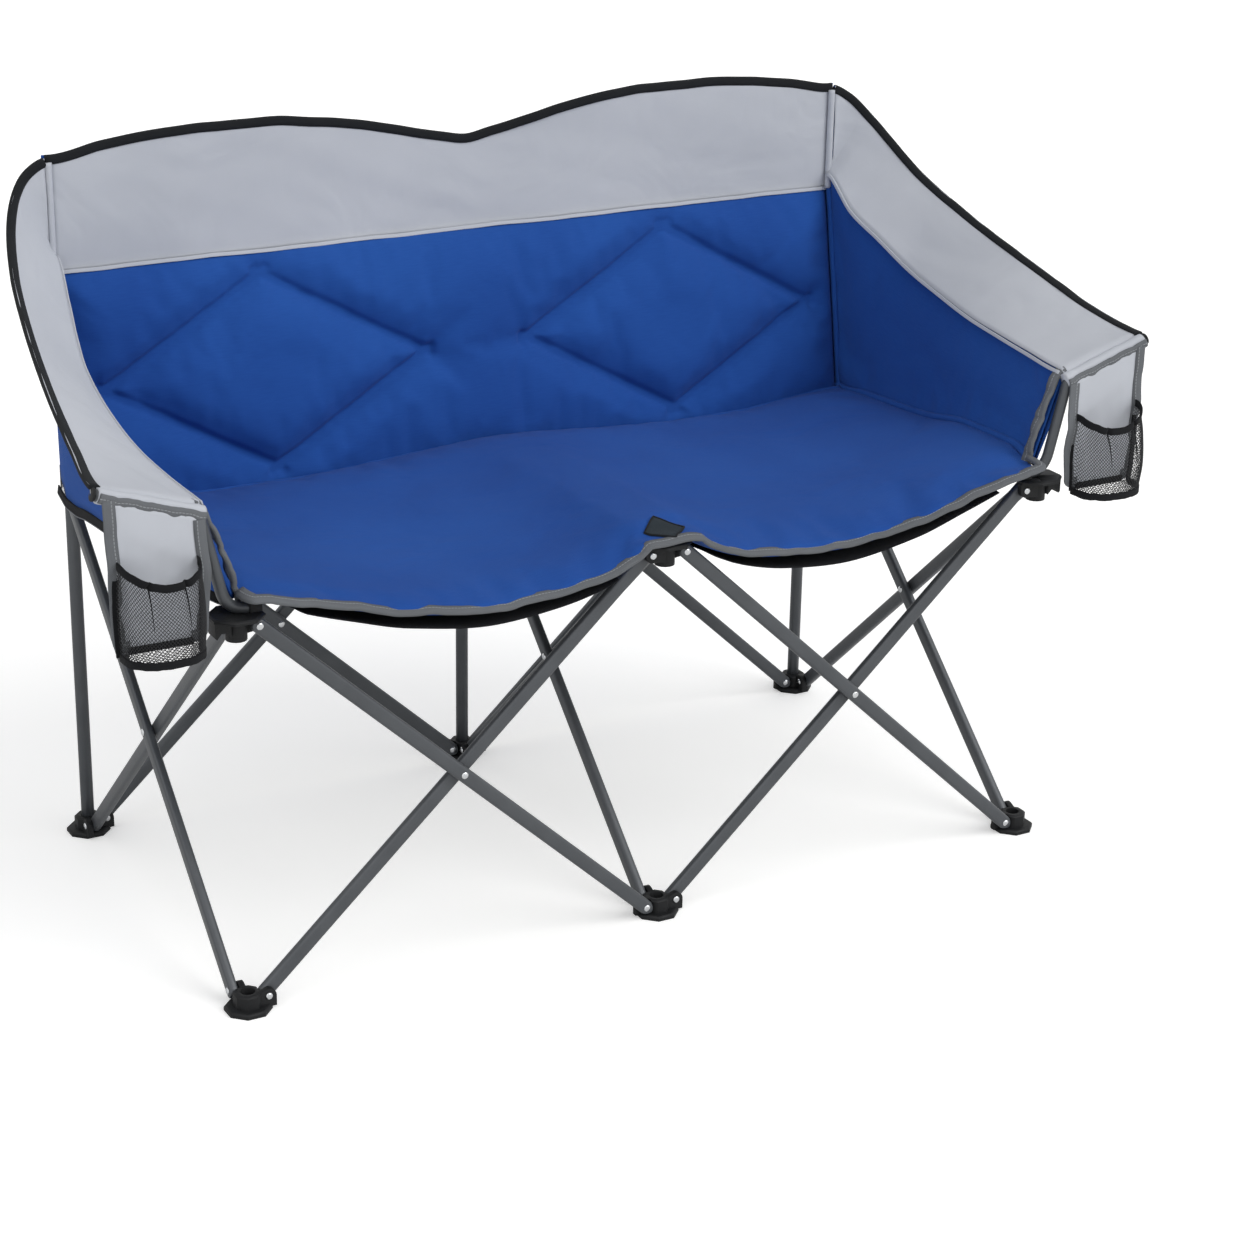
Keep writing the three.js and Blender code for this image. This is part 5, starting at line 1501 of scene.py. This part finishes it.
bpy.context.view_layer.update()
u, v = np.meshgrid(np.linspace(0, 1, 17), np.linspace(0, 1, 17))
patch = sheet_piece("seat_patch_cloth", diamond_points(u, v, 0.0016), 0.0012)
dress(patch, patch_cloth)
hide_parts("seat_patch")
walk = np.linspace(0, 1, 13)[:-1]
corners = [(walk, 0 * walk), (0 * walk + 1, walk), (1 - walk, 0 * walk + 1), (0 * walk, 1 - walk)]
ring = np.concatenate([np.stack(c, -1) for c in corners])
ring = np.concatenate([ring, ring[:1]])
ring = 0.5 + (ring - 0.5) * 0.955
trim("patch_border", piping_cloth, diamond_points(ring[:, 0], ring[:, 1], 0.0019), (0, 0, 1), circle(0.0010, 8))

# %% Painted shadow strip, and a grey cord, at the foot of the outer shell
for side_name, side in sides.items():
    t = np.linspace(0.02, 1.10, 60)
    line = wing_shell_foot(t) + (0.0102, 0, -0.0045)
    # A black tape along the shell's foot: painted shadow for the dark gap between the arm tube and the wing.
    trim(f"shell_edging_{side_name}", black_cloth, line * (side, 1, 1), (side, 0, 0), flat_tape(0.0120, 0.0016))
    line = line + (0.0006, 0, -0.0060)
    trim(f"shell_edging_cord_{side_name}", tape_cloth, line * (side, 1, 1), (side, 0, 0), circle(0.0008, 8))

# %% Pockets over the tops of the posts
def sleeve_section(radius, thick, flange):
    """Half a round sleeve open to the front, with a sewn flange on either side."""
    turn = np.radians(np.linspace(-90, 90, 13))
    face, behind = -0.0080, -0.0080 + thick
    return np.concatenate([
        [[face, -flange], [behind, -flange], [behind, -radius - thick]], round_arc(radius + thick, turn),
        [[behind, radius + thick], [behind, flange], [face, flange]],
        [[face, radius]], round_arc(radius, turn)[::-1], [[face, -radius]]])


post_tops = {"left": (-bay, 0.8473), "centre": (0, 0.8253), "right": (bay, 0.8473)}
for post_name, (post_x, post_top) in post_tops.items():
    rise = np.concatenate([np.linspace(post_top - 0.060, post_top + 0.001, 12),
                           post_top + np.array([0.0028, 0.0042, 0.0050])])
    narrow = np.concatenate([np.ones(12), [0.88, 0.62, 0.25]])
    path = stacked(post_x, bay, rise)
    section = sleeve_section(0.0102, 0.0012, 0.0190)[None] * stacked(1, narrow)[:, None]
    section[..., 0] = np.where(section[..., 0] > -0.006, section[..., 0] * narrow[:, None], section[..., 0])
    trim(f"post_pocket_{post_name}", black_cloth, path, (0, 1, 0), section)
print("trims in all", len(trims))

# %% [markdown]
# ## Riding and folding
# Every piece rides on the body that carries it. Folding brings the posts together and lifts the hubs,
# so the cover has to crumple in more than one direction. Hook modifiers do that: each carries a share
# of every point with a hub or a post, and the shares of a point add up. The lower edge of the back
# rises with the hubs, for instance, while its top edge stays on the posts.

# %% Helpers for cloth that spans two bodies
def hook_to(piece, body, weights):
    """Lets a share of each point follow another body, before any other modifier acts."""
    group = piece.vertex_groups.new(name=f"follows_{body}")
    steps = np.round(clamp(weights), 3)
    for weight in np.unique(steps[steps > 0]):
        group.add(np.flatnonzero(steps == weight).tolist(), float(weight), "REPLACE")
    hook = piece.modifiers.new(f"hook_{body}", "HOOK")
    hook.object = frame["bodies"][body]
    hook.vertex_group = group.name
    hook.falloff_type = "NONE"
    piece.modifiers.move(len(piece.modifiers) - 1, 0)


cover_top = 0.850


def rise_of(z):
    return clamp((cover_top - z) / (cover_top - back_bottom))


# Close to a hub or a post the cover keeps its shape and moves with it, so the folds lie between them.
hub_clear = 0.033


def middle_share(x):
    return 1 - clamp((np.abs(x) - hub_clear) / (bay - 2 * hub_clear))


def ahead_share(y, rear_end):
    return 1 - clamp((y - front_row - hub_clear) / (rear_end - hub_clear))


def fold_back_piece(piece):
    points = coordinates(piece.data)
    x, rise = points[:, 0], rise_of(points[:, 2])
    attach(piece, "back_centre_post")
    hook_to(piece, "hub_back_centre", middle_share(x) * rise)
    for side_name, side in sides.items():
        aside = np.where(side * x > 0, 1 - middle_share(x), 0)
        hook_to(piece, f"hub_back_{side_name}", aside * rise)
        hook_to(piece, f"back_{side_name}_post", aside * (1 - rise))


def fold_seat_piece(piece):
    points = coordinates(piece.data)
    x, ahead = points[:, 0], ahead_share(points[:, 1], seat_back)
    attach(piece, "hub_back_centre")
    hook_to(piece, "hub_front_centre", middle_share(x) * ahead)
    for side_name, side in sides.items():
        aside = np.where(side * x > 0, 1 - middle_share(x), 0)
        hook_to(piece, f"hub_back_{side_name}", aside * (1 - ahead))
        hook_to(piece, f"hub_front_{side_name}", aside * ahead)


def fold_wing_piece(piece, side_name):
    points = coordinates(piece.data)
    ahead = ahead_share(points[:, 1], 0.490)
    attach(piece, f"back_{side_name}_post")
    hook_to(piece, f"hub_front_{side_name}", ahead)
    hook_to(piece, f"hub_back_{side_name}", rise_of(points[:, 2]) * (1 - ahead))


# %% Every piece on its body
back_pieces = [back_pad, sheets["back_band_cloth"], sheets["back_shell"], trims["top_piping_back"],
               trims["band_fold_back"]]
back_pieces += [trims[f"corner_seam_{part}_{side_name}"] for part in ("low", "high") for side_name in sides]
for piece in back_pieces:
    fold_back_piece(piece)
for piece in (seat_pad, sling, trims["seat_front_binding"], trims["seat_back_seam"]):
    fold_seat_piece(piece)
wing_trims = ("top_piping", "band_fold", "wing_front_binding", "seat_side_seam", "shell_edging",
              "shell_edging_cord")
for side_name in sides:
    wing_pieces = [wing_pads[side_name], sheets[f"wing_band_cloth_{side_name}"],
                   sheets[f"wing_shell_{side_name}"]]
    wing_pieces += [trims[f"{part}_{side_name}"] for part in wing_trims]
    for piece in wing_pieces:
        fold_wing_piece(piece, side_name)
    on_arm = [arms[f"arm_tube_skin_{side_name}"], sheets[f"hanging_panel_cloth_{side_name}"]]
    on_arm += [net for name, net in nets.items() if name.endswith(side_name)]
    on_arm += [piece for name, piece in trims.items()
               if name.endswith(side_name) and name.startswith(("arm_", "panel_", "pocket_"))]
    for piece in on_arm:
        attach(piece, f"hub_front_{side_name}")
for piece in (patch, trims["patch_border"]):
    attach(piece, "hub_front_centre")
for post_name in ("left", "centre", "right"):
    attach(trims[f"post_pocket_{post_name}"], f"back_{post_name}_post")
for node_name, leg in legs.items():
    for piece in (leg, *rivets[node_name]):
        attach(piece, node_name)

# %% [markdown]
# ## Names of the arm and panel pieces
# For each side, the names of the arm tube's skin and of the hanging panel are put together. The
# numbers were measured along the threads, on each sheet's own map.


for side_name in sides:
    arm_name, panel_name = f"arm_tube_skin_{side_name}", f"hanging_panel_cloth_{side_name}"
print("declared sheets", 4 + 5 * len(sides))
